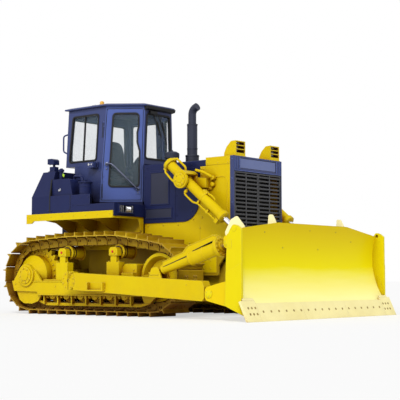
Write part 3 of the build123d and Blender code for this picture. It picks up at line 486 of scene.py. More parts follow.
hubs = Form()
hubs.lathe([(0, 135), (14, 135), (20, 128), (20, 90), (34, 85), (40, 66)],
    (DRIVE[0], -1320, DRIVE[1]), OUT, 40)
hubs.side_bolts(-1340, 14, *ring(8, 111, DRIVE, 0.2))
hubs.side_bolts(-1036, 17, *ring(27, 375, DRIVE))
for x, z in ROLLERS:
    hubs.lathe([(0, 78), (22, 78), (30, 66), (30, 46), (40, 42), (44, 30)], (x, -1196, z), OUT, 28)
    for side in (-1, 1):
        hubs.slab([(x + side * 95, z - 60), (x + side * 135, z - 50), (x + side * 135, z + 130),
            (x + side * 85, z + 130), (x + side * 70, z + 40)], -1225, -1150)
        hubs.side_bolts(-1225, 13, (x + side * 115, z - 25), (x + side * 115, z + 55))
for x in CARRIERS:
    hubs.slab([(x - 85, 895), (x + 85, 895), (x + 85, 985), (x + 55, 1022), (x - 55, 1022),
        (x - 85, 985)], -1268, -1170)
    hubs.lathe([(0, 50), (8, 48), (8, 30)], (x, -1268, 957), OUT, 20)
    hubs.side_bolts(-1268, 11, (x - 66, 912), (x + 66, 912))
    for dx in (-115, 85):
        hubs.bolt((x + dx, -1225, 805), UP, 14)
    hubs.lathe([(0, 70), (6, 112), (22, 112), (28, 96)], (x, -1150, 957), LEFT, 32)
hubs.box((IDLER[0] - 150, IDLER[0] + 60), (-1188, -1170), (500, 650))
hubs.lathe([(0, 66), (12, 66), (18, 55), (18, 30)], (IDLER[0] - 20, -1188, 573), OUT, 24)
hubs.side_bolts(-1188, 12, *((IDLER[0] + dx, z) for dx in (-130, 40) for z in (523, 623)))
hubs.box((-2190, 585), (-1302, -1256), (506, 522))
hubs.box((-1735, 530), (-1302, -1256), (298, 312))
hubs.box((-1150, -820), (-1160, -1148), (555, 625))
hubs.side_bolts(-1160, 11, (-1130, 605), (-840, 605))
hubs.side_bolts(-1290, 12, (-1330, 430), (-930, 420), (-2260, 470), (500, 420))
hubs.side_bolts(-1180, 12, (0, 580), (0, 680), (240, 580), (240, 680))
hubs.side_bolts(-1314, 10, *ring(10, 100, BALL_PIN))
hubs.twin().piece("hub_caps", yellow, "yellow_paint", soften=3)

plug_red = enamel("red_plug", (0.62, 0.01, 0.016), (0.5, 0.008, 0.012), 0.35, edge_highlight=0.1)
plugs = Form()
for x, z in ROLLERS:
    plugs.lathe([(0, 19), (10, 19), (14, 12)], (x, -1236, z + 30), OUT, 16)
for x in CARRIERS:
    plugs.lathe([(0, 18), (10, 18), (14, 12)], (x, -1275, 957), OUT, 16)
plugs.twin().piece("grease_plugs", plug_red, "yellow_paint")

# Black rings on the carrier rollers where their grooves are: painted shade in the grooves.
groove_shade_rings = Form()
for x in CARRIERS:
    for y, radius in ((-1168, 88), (-1112, 100), (-1060, 100)):
        groove_shade_rings.lathe([(0, radius), (18, radius)], (x, y, 957), LEFT, 32)
groove_shade_rings.twin().piece("carrier_groove_shade", black, "dark_paint")

# ---------------- push arms
# Welded box arms. The split drum over each ball is clamped by bolts, with a bent grease pipe
# over the joint.

for side, mark, arm, cap in ((-1, "right", "right_arm", "hitch"), (1, "left", "blade", "blade")):
    for body, start in ((cap, pi / 2), (arm, -pi / 2)):
        clamps = Form()
        for k in range(4):
            x, z = turned(start + 0.55 + k * 0.68, 112, BALL_PIN)
            clamps.bolt((x, side * 1588, z), (0, side, 0), 13)
        if start < 0:
            clamps.pipe([(x, side * y, z) for x, y, z in ((-690, 1590, 560), (-690, 1615, 590),
                (-660, 1615, 650), (-600, 1590, 660))], 7, 20)
            clamps.box((930, 1090), (side * 1583, side * 1588), (600, 612))
            for x, z in ((-300, 400), (1600, 470)):
                clamps.bolt((x, side * 1585, z), (0, side, 0), 8)
        clamps.piece("ball_bolts_%s_%s" % (mark, "arm" if start < 0 else "cap"), yellow,
            "yellow_paint", body, soften=2)

# ---------------- hull, fenders and side covers
# Bolted sheet over a welded hull. Blue side covers have perforated panels that let the engine
# bay breathe, and bolt heads follow the edges of the fenders.

HULL_FACE, COVER_FACE, FENDER_FACE = -573, -587, -1280
sheet = Form()
sheet.side_bolts(FENDER_FACE, 9, *((-1960 + 255 * k, 1522) for k in range(8)))
sheet.side_bolts(HULL_FACE, 11, (-30, 1360), (280, 1360), (580, 1360), (880, 1430), (980, 1620), (1004, 1300),
    (800, 1080), (300, 1080), (1004, 1080))
sheet.side_bolts(-620, 10, (-950, 1450), (-700, 1450), (-450, 1450), (-200, 1450))
sheet.side_bolts(-589, 14, (1100, 700), (1100, 820), (1220, 700), (1220, 820))
sheet.box((980, 1330), (-596, -587), (640, 880))
sheet.pipe([(900, -607, 1015), (1450, -607, 1015)], 10, 20)
sheet.twin().piece("sheet_bolts", yellow, "yellow_paint", soften=2)

trim = Form()
for x_low, x_high, z_low, z_high in ((20, 410, 1670, 2180), (-80, 470, 1460, 1630)):
    outline = [(x_low, z_low), (x_high, z_low), (x_high, z_high), (x_low, z_high)]
    inside = [(x_low + 18, z_low + 18), (x_high - 18, z_low + 18), (x_high - 18, z_high - 18),
        (x_low + 18, z_high - 18)]
    trim.slab(outline, COVER_FACE - 8, COVER_FACE, holes=[inside])
    for x, z in outline:
        trim.bolt((x + (9 if x == x_low else -9), COVER_FACE - 8, z + (9 if z == z_low else -9)), OUT, 6)
trim.box((520, 532), (COVER_FACE - 5, COVER_FACE), (1420, 2200))
trim.side_bolts(COVER_FACE, 10, (560, 1500), (560, 1800), (560, 2120), (860, 1550), (930, 1850),
    (930, 2140), (-70, 2120))
trim.box((660, 740), (COVER_FACE - 12, COVER_FACE), (1860, 1930))
trim.twin().piece("side_cover_trim", deep_shaded_navy, "blue_paint", soften=2)

perforated, s, place = new_finish("perforated_sheet")
cells = s.node("TexVoronoi", {"Vector": place, "Scale": 62, "Randomness": 0.15}, "Distance")
hole = ((0.42 - cells) * 9).clamp()
tone = place.noise(4, 3)
bump = (1 - hole).bump(0.5, 0.003)
s.surface(hole.mix(tone.mix((0.018, 0.02, 0.04), (0.026, 0.029, 0.056)), (0.004, 0.004, 0.006)),
    0.5 + (tone - 0.5) * 0.3, bump, gloss=0.25)
panels = Form()
panels.box((30, 400), (COVER_FACE - 2, COVER_FACE + 1), (1680, 2170))
panels.box((-70, 460), (COVER_FACE - 2, COVER_FACE + 1), (1470, 1620))
panels.twin().piece("side_cover_mesh", perforated, "dark_paint")

# ---------------- hood, stack and pre-cleaner
# Blue sheet hood with a seam and hold-down bolts. The black-blue exhaust stack is held by band
# clamps, and the pre-cleaner bowl breathes through a ring of vanes.

trim = Form()
for side in (-1, 1):
    for x in (-50, 250, 550, 850):
        trim.bolt((x, side * 577, 2250), (0, side, 0), 9)
    trim.box((505, 517), (side * 577, side * 582), (2210, 2300))
trim.box((-90, 1020), (-12, 12), (2338, 2346))
trim.piece("hood_trim", deep_shaded_navy, "blue_paint", soften=2)
trim = Form()
for z, radius in ((2445, 106.5), (2560, 81), (2938, 81)):
    trim.band(0, 22, radius, radius + 3, 3, (369, 0, z), UP, 40)
    trim.rod((369 + radius + 10, -22, z + 11), (369 + radius + 10, 22, z + 11), 5)
for x, y in ring(20, 107, (180, -260)):
    away = Vector((x - 180, y + 260, 0)).normalized()
    trim.rod((x, y, 2412), (x + away.x * 4, y + away.y * 4, 2480), 4, 6)
trim.lathe([(0, 18), (16, 18), (26, 10)], (180, -260, 2517), UP, 12)
trim.piece("stack_trim", coal, "dark_paint", soften=1)

# ---------------- radiator guard and front
# Thick yellow plate guard with a pressed rib, a blue front frame with a blank name band, and a
# slatted grille in two halves that swing open on side hinges.

trim = Form()
trim.pipe([(1090, -589, 2035), (1530, -589, 2035), (1530, -589, 1320)], 8, 90)
trim.box((1132, 1582), (-595, -588), (2214, 2329))
trim.side_bolts(-595, 8, (1170, 2240), (1360, 2240), (1540, 2240))
trim.box((1030, 1118), (-594, -588), (2055, 2195))
trim.side_bolts(-594, 9, (1055, 2165), (1095, 2165), (1055, 2085))
trim.lathe([(0, 30), (12, 26), (18, 36), (46, 36), (52, 28)], (1280, -589, 1925), OUT, 20)
trim.box((1572, 1584), (-594, -588), (905, 2329))
trim.side_bolts(-589, 12, (1060, 1000), (1060, 1450), (1200, 950), (1450, 950))
for x in (1480, 1600):
    for y in (-545, -300):
        trim.bolt((x, y, 2330), UP, 9)
trim.box((1400, 1650), (-555, -290), (2329, 2336))
trim.twin().piece("guard_trim", yellow, "yellow_paint", soften=3)

band_blue = enamel("band_blue", (0.11, 0.145, 0.33), (0.085, 0.115, 0.28), 0.3, coat=0.2)
band = Form()
band.box((1643, 1648.5), (-432, 432), (2158, 2296))
band.piece("name_band", band_blue, "blue_paint", soften=6)
trim = Form()
for side in (-1, 1):
    for low, high in ((447, 459), (512, 524), (560, 572)):
        trim.box((1651, 1657), sorted((side * low, side * high)), (2130, 2315))
    for z in (960, 1300, 1650, 2000, 2280):
        trim.bolt((1620, side * 589, z), (0, side, 0), 9)
trim.box((1651, 1657), (-575, 575), (2112, 2122))
trim.piece("front_frame_trim", navy, "blue_paint", soften=1.5)

grille_grey = enamel("grille_enamel", (0.017, 0.018, 0.024), (0.01, 0.011, 0.015), 0.32,
    coat=0.1, gloss=0.4, edge_highlight=0.3)
for mark, side in (("right", -1), ("left", 1)):
    repaint(grille_grey, "grille_" + mark)
    hinges = Form()
    for z in (1140, 1560, 1980):
        hinges.rod((1648, side * 566, z - 30), (1648, side * 566, z + 30), 4, 10)
        hinges.box((1644, 1648), (side * 520, side * 562), (z - 24, z + 24))
        for dz in (-14, 14):
            hinges.bolt((1648, side * 535, z + dz), FRONT, 4)
    hinges.lathe([(0, 14), (3, 14), (4, 10)], (1646, side * 15, 1560), FRONT, 16)
    hinges.piece("grille_hinges_" + mark, grille_grey, "dark_paint", "grille_" + mark, soften=1)

core_fins, s, place = new_finish("radiator_fins")
fins = s.node("TexWave", {"Vector": place, "Scale": 42, "Distortion": 0.3}, "Fac", bands_direction="Z")
tubes = s.node("TexWave", {"Vector": place, "Scale": 16, "Distortion": 0.2}, "Fac", bands_direction="Y")
s.surface((fins * tubes).mix((0.003, 0.003, 0.004), (0.02, 0.02, 0.022)), 0.55 + fins * 0.1,
    (fins * tubes).bump(0.6, 0.004), gloss=0.2)
repaint(core_fins, "radiator_core")

# A dark orange-brown liner at the back and sides of each headlamp hollow: painted shade inside the yellow
# hollow.
lamp_hollow_shade = enamel("lamp_hollow_shade_enamel", (0.3, 0.12, 0.01), (0.16, 0.06, 0.006), 0.35, edge_highlight=0.3)
lens_glass = enamel("lamp_lens", (0.3, 0.34, 0.38), (0.14, 0.17, 0.2), 0.12, coat=0.6, edge_highlight=0.3, gloss=0.6)
lamp_backs, lamp_lenses = Form(), Form()
lamp_backs.box((1541, 1549), (-517, -328), (2378, 2534))
for y in (-517.5, -329.5):
    lamp_backs.box((1545, 1638), (y - 1, y + 3), (2378, 2534))
lamp_lenses.lathe([(0, 62), (20, 68), (30, 66), (34, 58), (42, 40), (46, 14)], (1549, -445, 2455), FRONT, 32)
lamp_lenses.box((1549, 1560), (-475, -415), (2380, 2396))
lamp_backs.twin().piece("lamp_hollow_shade_liners", lamp_hollow_shade, "yellow_paint")
lamp_lenses.twin().piece("lamp_lenses", lens_glass, "tinted_glass")

# ---------------- tanks, decks and boxes
# Blue welded tanks with bolted lids, parted by a black rubber strip. Filler post, lock, lamp and
# the elbow pipe to the canister sit on top, and a vent insert closes the deck's front box.

rubber = enamel("black_rubber", (0.012, 0.012, 0.013), (0.007, 0.007, 0.008), 0.6,
    coat=0, edge_highlight=0.05, gloss=0.25)
bright = worn_steel("bright_steel", (0.62, 0.62, 0.64), (0.42, 0.42, 0.44), 0.28, metallic=0.9, scratches=0.1)
dark_steel = worn_steel("dark_bright_steel", (0.16, 0.17, 0.24), (0.08, 0.09, 0.14), 0.25,
    metallic=0.9, scratches=0.1)
seals = Form()
seals.slab([(-1269, 1576), (-1269, 1854), (-1230, 2118), (-795, 2118), (-795, 1576)],
    -1514, -1490, across="x")
seals.slab([(-82, 1536), (-58, 1536), (-58, 1540), (-70, 1544), (-70, 1658), (-82, 1658)], -1182, -873)
seals.box((-1045, -1037), (-1266, -800), (1578, 1850))
seals.piece("tank_seals", rubber, "dark_paint", soften=2)

trim = Form()
trim.box((-1500, -1010), (-1271, -1264), (1572, 1590))
trim.box((-1046, -600), (-1266, -1260), (1676, 1694))
trim.box((-612, -600), (-1266, -1240), (1690, 1846))
trim.side_bolts(-1265, 10, (-1880, 1615), (-1540, 1615), (-1460, 1615), (-1070, 1615))
trim.side_bolts(-1262, 8, (-1000, 1800), (-820, 1800), (-640, 1800))
trim.box((-1690, -1530), (-1135, -1010), (2245, 2262))
trim.box((-1670, -1560), (-1120, -1030), (2260, 2335))
trim.box((-1630, -1600), (-1090, -1060), (2330, 2375))
trim.slab([(-1700, 2375), (-1560, 2365), (-1560, 2440), (-1600, 2462), (-1700, 2462)], -1140, -1015)
for x in (-1660, -1570):
    trim.bolt((x, -1125, 2262), UP, 8)
trim.twin()
trim.lathe([(0, 50), (6, 50), (6, 30), (130, 30), (134, 46), (165, 48), (172, 40)],
    (-1420, -1100, 2110), UP, 24)
trim.box((-1446, -1394), (-1112, -1088), (2276, 2296))
for x, y in ring(6, 42, (-1420, -1100)):
    trim.bolt((x, y, 2116), UP, 5)
trim.pipe([(-1200, -1020, 2105), (-1200, -1020, 2160), (-1000, -1045, 2150), (-985, -1060, 2020),
    (-985, -1060, 1680)], 24, 60)
for z in (2000, 1760):
    trim.band(0, 16, 24, 28, 2, (-985, -1060, z), UP, 20)
for x, y in ring(8, 102, (-873, -1100)):
    trim.box((x - 8, x + 8), (y - 8, y + 8), (2025, 2052))
trim.box((-885, -861), (-1130, -1070), (2060, 2078))
for z in (1800, 1970):
    trim.band(0, 14, 95, 98.5, 2, (-873, -1100, z), UP, 40)
for x in (-1410, -1140):
    trim.box((x - 22, x + 22), (1236, 1250), (1835, 1925))
    trim.box((x - 12, x + 12), (1248, 1260), (1850, 1905))
    trim.lathe([(0, 10), (60, 10)], (x - 30, 812, 1962), FRONT, 12)
trim.pipe([(-1340, 1020, 1955), (-1340, 1020, 1995), (-1210, 1020, 1995), (-1210, 1020, 1955)], 8, 20)
trim.piece("tank_trim", deep_shaded_navy, "blue_paint", soften=3)

fittings = Form()
for k in range(9):
    y = -1166 + 34 * k
    if not -1070 < y < -940:
        fittings.box((-66, -54), (y - 5, y + 5), (1544, 1654))
for k in range(6):
    fittings.band(0, 16, 40, 45, 6, (-72, -1049 + 17 * k, 1600), LEFT, 20)
fittings.box((-66, -56), (-1065, -935), (1546, 1556))
fittings.lathe([(0, 48), (4, 48), (6, 40)], (-1705, -1078, 2418), (-1, 0, 0), 24)
fittings.twin()
fittings.lathe([(0, 17), (10, 17), (13, 13), (13, 5)], (-1325, -1225, 1935), OUT, 20)
fittings.box((-1306, -1290), (-1236, -1225), (1925, 1965))
fittings.piece("tank_fittings", bright, "chrome_rod", soften=1)
tag_green = enamel("tag_green", (0.45, 0.75, 0.02), (0.38, 0.62, 0.02), 0.4)
tag = Form()
tag.slab([(-1385, 2175), (-1345, 2150), (-1335, 2190), (-1372, 2215)], -1112, -1106)
tag.piece("filler_tag", tag_green, "dark_paint", soften=1)

# ---------------- cab
# Welded blue cab of six leaning walls. Tinted panes sit in black rubber profiles; doors hang on
# pin hinges with a bright stay across the glass.

CAB_LOW, CAB_RISE = 1760, 1525
CAB_LEAN = 0.059
SIDE_WALL, DOOR_WALL, FRONT_WALL, REAR_WALL = 0, 1, 2, 5
CAB_FOOT = [(-1690, -780), (-880, -780), (-345, -370), (-345, 370), (-880, 780), (-1690, 780)]
CAB_HEAD = [(-1690, -690), (-830, -690), (-345, -318), (-345, 318), (-830, 690), (-1690, 690)]
DOOR_WINDOW = [(140, 2000, 60), (618, 2000, 60), (628, 2560, 40), (590, 2700, 30), (588, 2860, 30),
    (612, 2960, 20), (612, 3165, 60), (205, 3165, 60)]
DOOR = [(24, 1790, 20), (648, 1790, 20), (678, 3235, 20), (112, 3235, 20)]
SIDE_WINDOW = [(75, 2430, 50), (690, 2430, 50), (700, 3170, 50), (115, 3170, 50)]
FRONT_WINDOW = [(60, 2450, 50), (680, 2450, 50), (640, 3170, 50), (100, 3170, 50)]
REAR_WINDOW = [(130, 2450, 50), (1430, 2450, 50), (1400, 3150, 50), (160, 3150, 50)]


def wall_frame(k):
    """Matrix from (distance along wall k, depth inward, height over the cab's foot) to the machine."""
    start, stop, head = Vector(CAB_FOOT[k]), Vector(CAB_FOOT[(k + 1) % 6]), Vector(CAB_HEAD[k])
    along = (stop - start).normalized()
    inward = Vector((-along.y, along.x))
    lean = (head - start).dot(inward) / CAB_RISE
    rise = Vector((inward.x * lean, inward.y * lean, 1))
    frame_of = Matrix(((*along, 0), (*inward, 0), rise)).transposed().to_4x4()
    frame_of.translation = (*start, CAB_LOW)
    return frame_of


def rounded(outline):
    """Outline of (s, z, corner radius in mm) as points, with z counted from the cab's foot."""
    points = []
    for before, corner, after in zip(outline[-1:] + outline[:-1], outline, outline[1:] + outline[:1]):
        here = Vector(corner[:2])
        a, b = (Vector(before[:2]) - here).normalized(), (Vector(after[:2]) - here).normalized()
        cut = corner[2] * (1 + a.dot(b)) / (1e-6 + (1 - a.dot(b) ** 2) ** 0.5)
        for t in (0, 0.25, 0.5, 0.75, 1):
            p = (here + a * cut).lerp(here, t).lerp(here.lerp(here + b * cut, t), t)
            points.append((p.x, p.y - CAB_LOW))
    return points


def grown(points, margin):
    """The same closed outline moved outward; it runs counter-clockwise."""
    moved = []
    for before, here, after in zip(points[-1:] + points[:-1], points, points[1:] + points[:1]):
        way = Vector((after[0] - before[0], after[1] - before[1])).normalized()
        moved.append((here[0] + way.y * margin, here[1] - way.x * margin))
    return moved


def window_seal(form, outline):
    """Rubber profile: a lip over the wall outside and a sleeve through it."""
    edge = rounded(outline)
    inside = grown(edge, -14)
    form.slab(grown(edge, 13.2), -12, 4, holes=[inside])
    form.slab(grown(edge, -1), 4, 30, holes=[inside])


seals = Form()
window_seal(seals, SIDE_WINDOW)
seals.box((382, 402), (-6, 22), (675, 1405))
seals.repeat([wall_frame(SIDE_WALL)])
seals.twin().piece("side_window_seals", rubber, "dark_paint", soften=3)
for wall, outline, label in ((FRONT_WALL, FRONT_WINDOW, "front"), (REAR_WALL, REAR_WINDOW, "rear")):
    seal = Form()
    window_seal(seal, outline)
    seal.repeat([wall_frame(wall)])
    seal.piece(label + "_window_seal", rubber, "dark_paint", soften=3)

tinted, s, place = new_finish("tinted_glass")
haze = place.noise(1.6, 3)
s.surface(haze.mix((0.2, 0.3, 0.38), (0.3, 0.4, 0.47)), 0.05 + haze * 0.04, place.noise(3).bump(0.02, 0.002),
    Alpha=0.1 + (haze - 0.5) * 0.1, gloss=0.5)
repaint(tinted, "cab_glass", "door_glass_right", "door_glass_left")
amber = enamel("amber_lens", (0.85, 0.46, 0.01), (0.72, 0.34, 0.006), 0.15, coat=0.5, gloss=0.5)
repaint(amber, "beacon")
chrome = worn_steel("chrome_rod", (0.8, 0.8, 0.83), (0.66, 0.66, 0.7), 0.14, metallic=1, scratches=0.03)
repaint(chrome, "tilt_rod", "lift_rod_right", "lift_rod_left")

for mark, flip in (("right", SAME), ("left", MIRRORED)):
    seals, stay, plates = Form(), Form(), Form()
    window_seal(seals, DOOR_WINDOW)
    edge = rounded(DOOR)
    seals.slab(grown(edge, 7), 2, 30, holes=[grown(edge, 0.5)])
    for low, high in ((1815, 2045), (2780, 3020)):
        seals.box((34, 46), (-4, 2), (low - CAB_LOW, high - CAB_LOW))
    stay.pipe([(105, -2, 600), (105, -50, 602), (190, -60, 596), (600, -60, 200), (604, -2, 192)], 14, 30)
    for x, z in ((105, 600), (604, 192)):
        stay.lathe([(0, 30), (6, 30), (10, 24)], (x, 0, z), OUT, 20)
    stay.side_bolts(0, 12, (604, 140), (105, 520))
    plates.box((560, 640), (-5, 0), (115, 235))
    plates.box((70, 140), (-6, 0), (570, 630))
    plates.side_bolts(0, 8, (58, 330), (58, 400), (58, 1200), (58, 1270))
    for form, label, finish, slot in ((seals, "seals", rubber, "dark_paint"),
            (stay, "stay", dark_steel, "chrome_rod"), (plates, "plates", navy, "blue_paint")):
        form.repeat([flip @ wall_frame(DOOR_WALL)])
        form.piece("door_%s_%s" % (label, mark), finish, slot, "door_" + mark, soften=2)

trim, wipers, lights = Form(), Form(), Form()
trim.box((-1080, -940), (-870, -760), (2300, 2312))
trim.box((-1070, -950), (-865, -800), (2312, 2392))
trim.box((-1080, -940), (-775, -755), (2300, 2400))
places = [(-915, z) for z in (1850, 2050, 2250, 2550, 2800, 3050)]
for x, z in places + [(x, 2350) for x in (-1600, -1400, -1150)]:
    trim.bolt((x, -779 + CAB_LEAN * (z - CAB_LOW), z), OUT, 8)
trim.pipe([(-1690, -700, 2900), (-1780, -720, 2880), (-1780, -720, 2620), (-1690, -700, 2580)], 13, 40)
trim.pipe([(-1300, -550, 3325), (-1300, -550, 3352), (-1200, -550, 3352), (-1200, -550, 3325)], 9, 20)
wipers.slab([(-347, 3225), (-275, 3238), (-262, 3284), (-347, 3284)], -330, 330)
for y in (-200, -90):
    wipers.pipe([(-345, y, 3190), (-305, y, 3190), (-302, y + 50, 3150), (-312, y + 200, 2860)], 8, 20)
wipers.pipe([(-316, 60, 3060), (-318, 175, 2700)], 10, 10)
wipers.pipe([(-316, -60, 3060), (-318, 45, 2800)], 10, 10)
wipers.box((-347, -300), (-225, -65), (3165, 3215))
lights.lathe([(0, 20), (4, 21), (6, 16)], (-1045, -865, 2352), OUT, 20)
lights.lathe([(0, 14), (4, 15), (6, 11)], (-985, -865, 2352), OUT, 20)
trim.twin()
lights.twin()
for form, label, finish, slot in ((trim, "trim", half_shaded_navy, "blue_paint"),
        (wipers, "wipers", rubber, "dark_paint"), (lights, "lamps", bright, "chrome_rod")):
    form.piece("cab_" + label, finish, slot, soften=3)
beacon = Form()
beacon.lathe([(0, 48), (14, 48), (18, 40)], (-1060, -560, 3330), UP, 32)
for x, y in ring(3, 44, (-1060, -560)):
    beacon.bolt((x, y, 3336), (x + 1060, y + 560, 0), 4)
beacon.piece("beacon_base", rubber, "dark_paint")

# ---------------- seat and console
# Sprung seat with crowned black vinyl cushions, on a steel box with bellows. In front of it
# stands a dash with gauges, levers and two pedals.

SEAT_X = -1130
vinyl, s, place = new_finish("seat_vinyl")
grain = place.noise(90, 4)
wear = ((place.noise(5, 3) - 0.45) * 3).clamp()
s.surface(wear.mix((0.02, 0.021, 0.024), (0.045, 0.046, 0.05)), 0.5 + grain * 0.2,
    grain.bump(0.25, 0.002), gloss=0.3)


def cushion(centre, half, lean, sides=28, rows=13):
    """Crowned pad: a squared-off ellipsoid, fuller in the middle than at its seams."""
    def squared(value, power):
        return (abs(value) ** power) * (1 if value > 0 else -1)

    rings = []
    for row in range(rows):
        up = -pi / 2 + pi * (row + 0.5) / rows
        circuit = []
        for k in range(sides):
            turn = 2 * pi * k / sides
            x = squared(cos(turn), 0.45) * cos(up) ** 0.4 * half[0]
            y = squared(sin(turn), 0.45) * cos(up) ** 0.4 * half[1]
            circuit.append(Vector(centre) + Matrix.Rotation(lean, 3, "Y") @ Vector((x, y,
                squared(sin(up), 0.75) * half[2])))
        rings.append(circuit)
    pad = Form()
    pad.loft(rings)
    return pad


seat_base = Form()
seat_base.slab([(SEAT_X - 220, 1765), (SEAT_X + 200, 1765), (SEAT_X + 170, 1900), (SEAT_X + 170, 2075),
    (SEAT_X - 190, 2075), (SEAT_X - 190, 1900)], -205, 205)
for k in range(5):
    z = 1920 + 27 * k
    seat_base.box((SEAT_X - 205, SEAT_X + 185), (-212, 212), (z, z + 14))
for y in (-330, 330):
    seat_base.box((SEAT_X - 140, SEAT_X - 80), (y - 22, y + 22), (1765, 2320))
seat_base.piece("seat_base", black, "dark_paint", soften=6, replaces=["operator_seat"])
for label, centre, half, lean in (("cushion", (SEAT_X + 5, 0, 2150), (250, 262, 72), 0),
        ("back", (SEAT_X - 225, 0, 2480), (62, 250, 345), -0.1), ("arm_right", (SEAT_X - 20, -330, 2350),
        (172, 43, 30), 0), ("arm_left", (SEAT_X - 20, 330, 2350), (172, 43, 30), 0)):
    cushion(centre, half, lean).piece("seat_" + label, vinyl, "seat_vinyl")

dash = Form()
for k in range(4):
    dash.lathe([(0, 34), (8, 34), (10, 28), (4, 26)], (-560, -170 + 110 * k, 2447), (-0.64, 0, 0.77), 24)
for x, y, high in ((-700, -220, 2360), (-700, 220, 2360), (-740, -120, 2280)):
    dash.rod((x + 100, y, 1780), (x, y, high), 9)
    dash.lathe([(0, 12), (10, 20), (30, 23), (48, 16), (54, 6)], (x, y, high - 4), (-0.1, 0, 1), 16)
for y in (-110, 110):
    dash.slab([(-700, 1800), (-620, 1860), (-600, 1850), (-680, 1790)], y - 45, y + 45)
dash.piece("dash_details", black, "dark_paint", soften=2)

# ---------------- blade
# Rolled moldboard with welded end plates. Bolt-on edges of pale primed steel run along its foot,
# held by countersunk bolts; pins in the ears have bolted keeper plates.

ARC_X, ARC_Z, ARC_R = 3514.66, 842.25, 998.18  # the arc that the moldboard is rolled to
countersunk = enamel("bolt_dark", (0.34, 0.23, 0.03), (0.2, 0.13, 0.02), 0.5, edge_highlight=0.1)
up_slope = Vector((-111, 0, 236)).normalized()
off_slope = Vector((236, 0, 111)).normalized()
bolts = Form()
rows = [(-1460 + 171.8 * k, 140) for k in range(18)]
rows += [(side * y, height) for side in (-1, 1) for y in (1605, 1680, 1755) for height in (110, 195)]
for y, height in rows:
    place = Vector((2875, y, 0)) + up_slope * height
    bolts.lathe([(-4, 17), (1.2, 17), (1.2, 13), (0.4, 8)], place, off_slope, 16)
bolts.piece("edge_bolts", countersunk, "edge_steel", "blade")
lips = Form()
for y in (-1561.5, -541.5, 538.5, 1558.5):
    lips.slab([(2874.8, 2), (2765.5, 235), (2763.5, 233), (2872, 2)], y, y + 3)
for low, high in ((-1800, -1575), (1575, 1800)):
    lips.slab([(2729, 300), (2748, 272), (2742, 262), (2719, 285)], low, high)
lips.piece("edge_joints", cream, "edge_steel", "blade")

plugs = Form()
for y, z in ((-1100, 1180), (-620, 980), (-50, 1230), (250, 970), (620, 1230), (1100, 1100)):
    x = ARC_X - (ARC_R ** 2 - (z - ARC_Z) ** 2) ** 0.5
    plugs.lathe([(-4, 10), (2, 10), (2, 4)], (x, y, z), FRONT, 12)
plugs.piece("moldboard_plugs", countersunk, "yellow_paint", "blade")
# A lighter copy of the yellow enamel for the blade's end plates and their trim: painted light on the ends.
lit_end_yellow = enamel("blade_end_enamel", (0.73, 0.625, 0.004), (0.69, 0.56, 0.003), coat=0.02, gloss=0.06)
trim = Form()
trim.slab([(2452, 200), (2462, 640), (2720.5, 760), (2720.5, 275), (2709, 262), (2795, 80),
    (2762, 75)], -1806, -1800)
trim.slab([(2606, 330), (2690, 270), (2735, 235), (2700, 330), (2660, 540), (2606, 600)], -1771, -1763)
trim.lathe([(0, 40), (4, 40), (6, 36), (6, 27)], (2600, -1800, 1203), OUT, 28)
trim.box((2500, 2560), (-1803, -1800), (950, 1060))
for place, inward, reach in (((2011, -1596, 350), -1, 58), ((2011, -1404, 350), 1, 58),
        ((2314, -1586, 1027), -1, 44), ((2314, -1414, 1027), 1, 44), ((2305, -955, 872), -1, 60),
        ((2305, -645, 872), 1, 60)):
    trim.lathe([(0, reach), (8, reach), (11, reach * 0.9), (11, reach * 0.55), (16, reach * 0.5)],
        place, (0, inward, 0), 28)
    for x, z in ring(3, reach * 0.75, (place[0], place[2]), 0.5):
        trim.bolt((x, place[1] + inward * 11, z), (0, inward, 0), reach * 0.13)
for y in (-1606, -1394):
    trim.slab([(2260, 200), (2460, 150), (2460, 200), (2300, 250)], y - 4, y + 4)
trim.twin().piece("blade_trim", lit_end_yellow, "yellow_paint", "blade", soften=2)
# The moldboard's face is painted darker towards its top and pale cream towards its foot, with streaks:
# painted shade above and a painted reflection of the white floor below.
low_face, s, place = new_finish("moldboard_enamel")
soft = s.node("Bevel", {"Radius": 0.006}, samples=4)
height = s.node("SeparateXYZ", {"Vector": place}, "Z")
face_streaks = place.stretched(4, 1.2, 9).noise(1, 4)
pale = ((0.72 - height) * 1.9 + (face_streaks - 0.5) * 0.25).clamp()
upper = (height * 1.6 - 1).clamp()
paint = pale.mix(upper.mix((0.82, 0.72, 0.004), (0.72, 0.54, 0.003)), (0.98, 0.93, 0.42))
s.surface(paint, 0.34 + (face_streaks - 0.5) * 0.12, place.noise(220).bump(0.08, 0.002, Normal=soft),
    gloss=0.04, Coat_Weight=0.02)
repaint(low_face, "blade")
repaint(lit_end_yellow, "blade_ends")
primed, s, place = new_finish("primed_horns")
soft = s.node("Bevel", {"Radius": 0.006}, samples=4)
top = ((s.node("SeparateXYZ", {"Vector": place}, "Z") - 1.12) * 60).clamp()
cloud = place.noise(6, 4)
s.surface(top.mix(cloud.mix((0.7, 0.5, 0.003), (0.76, 0.57, 0.003)),
    cloud.mix((0.9, 0.8, 0.4), (0.96, 0.88, 0.5))),
    0.34 + cloud * 0.15, place.noise(200).bump(0.1, 0.002, Normal=soft), gloss=0.08)
repaint(primed, "blade_ears")

# ---------------- lift cylinders
# Long cylinders slung in forks on the radiator guard. Steel pipes run from the fork to the tail
# and the gland, clamped by bands; the rods are hard chrome.

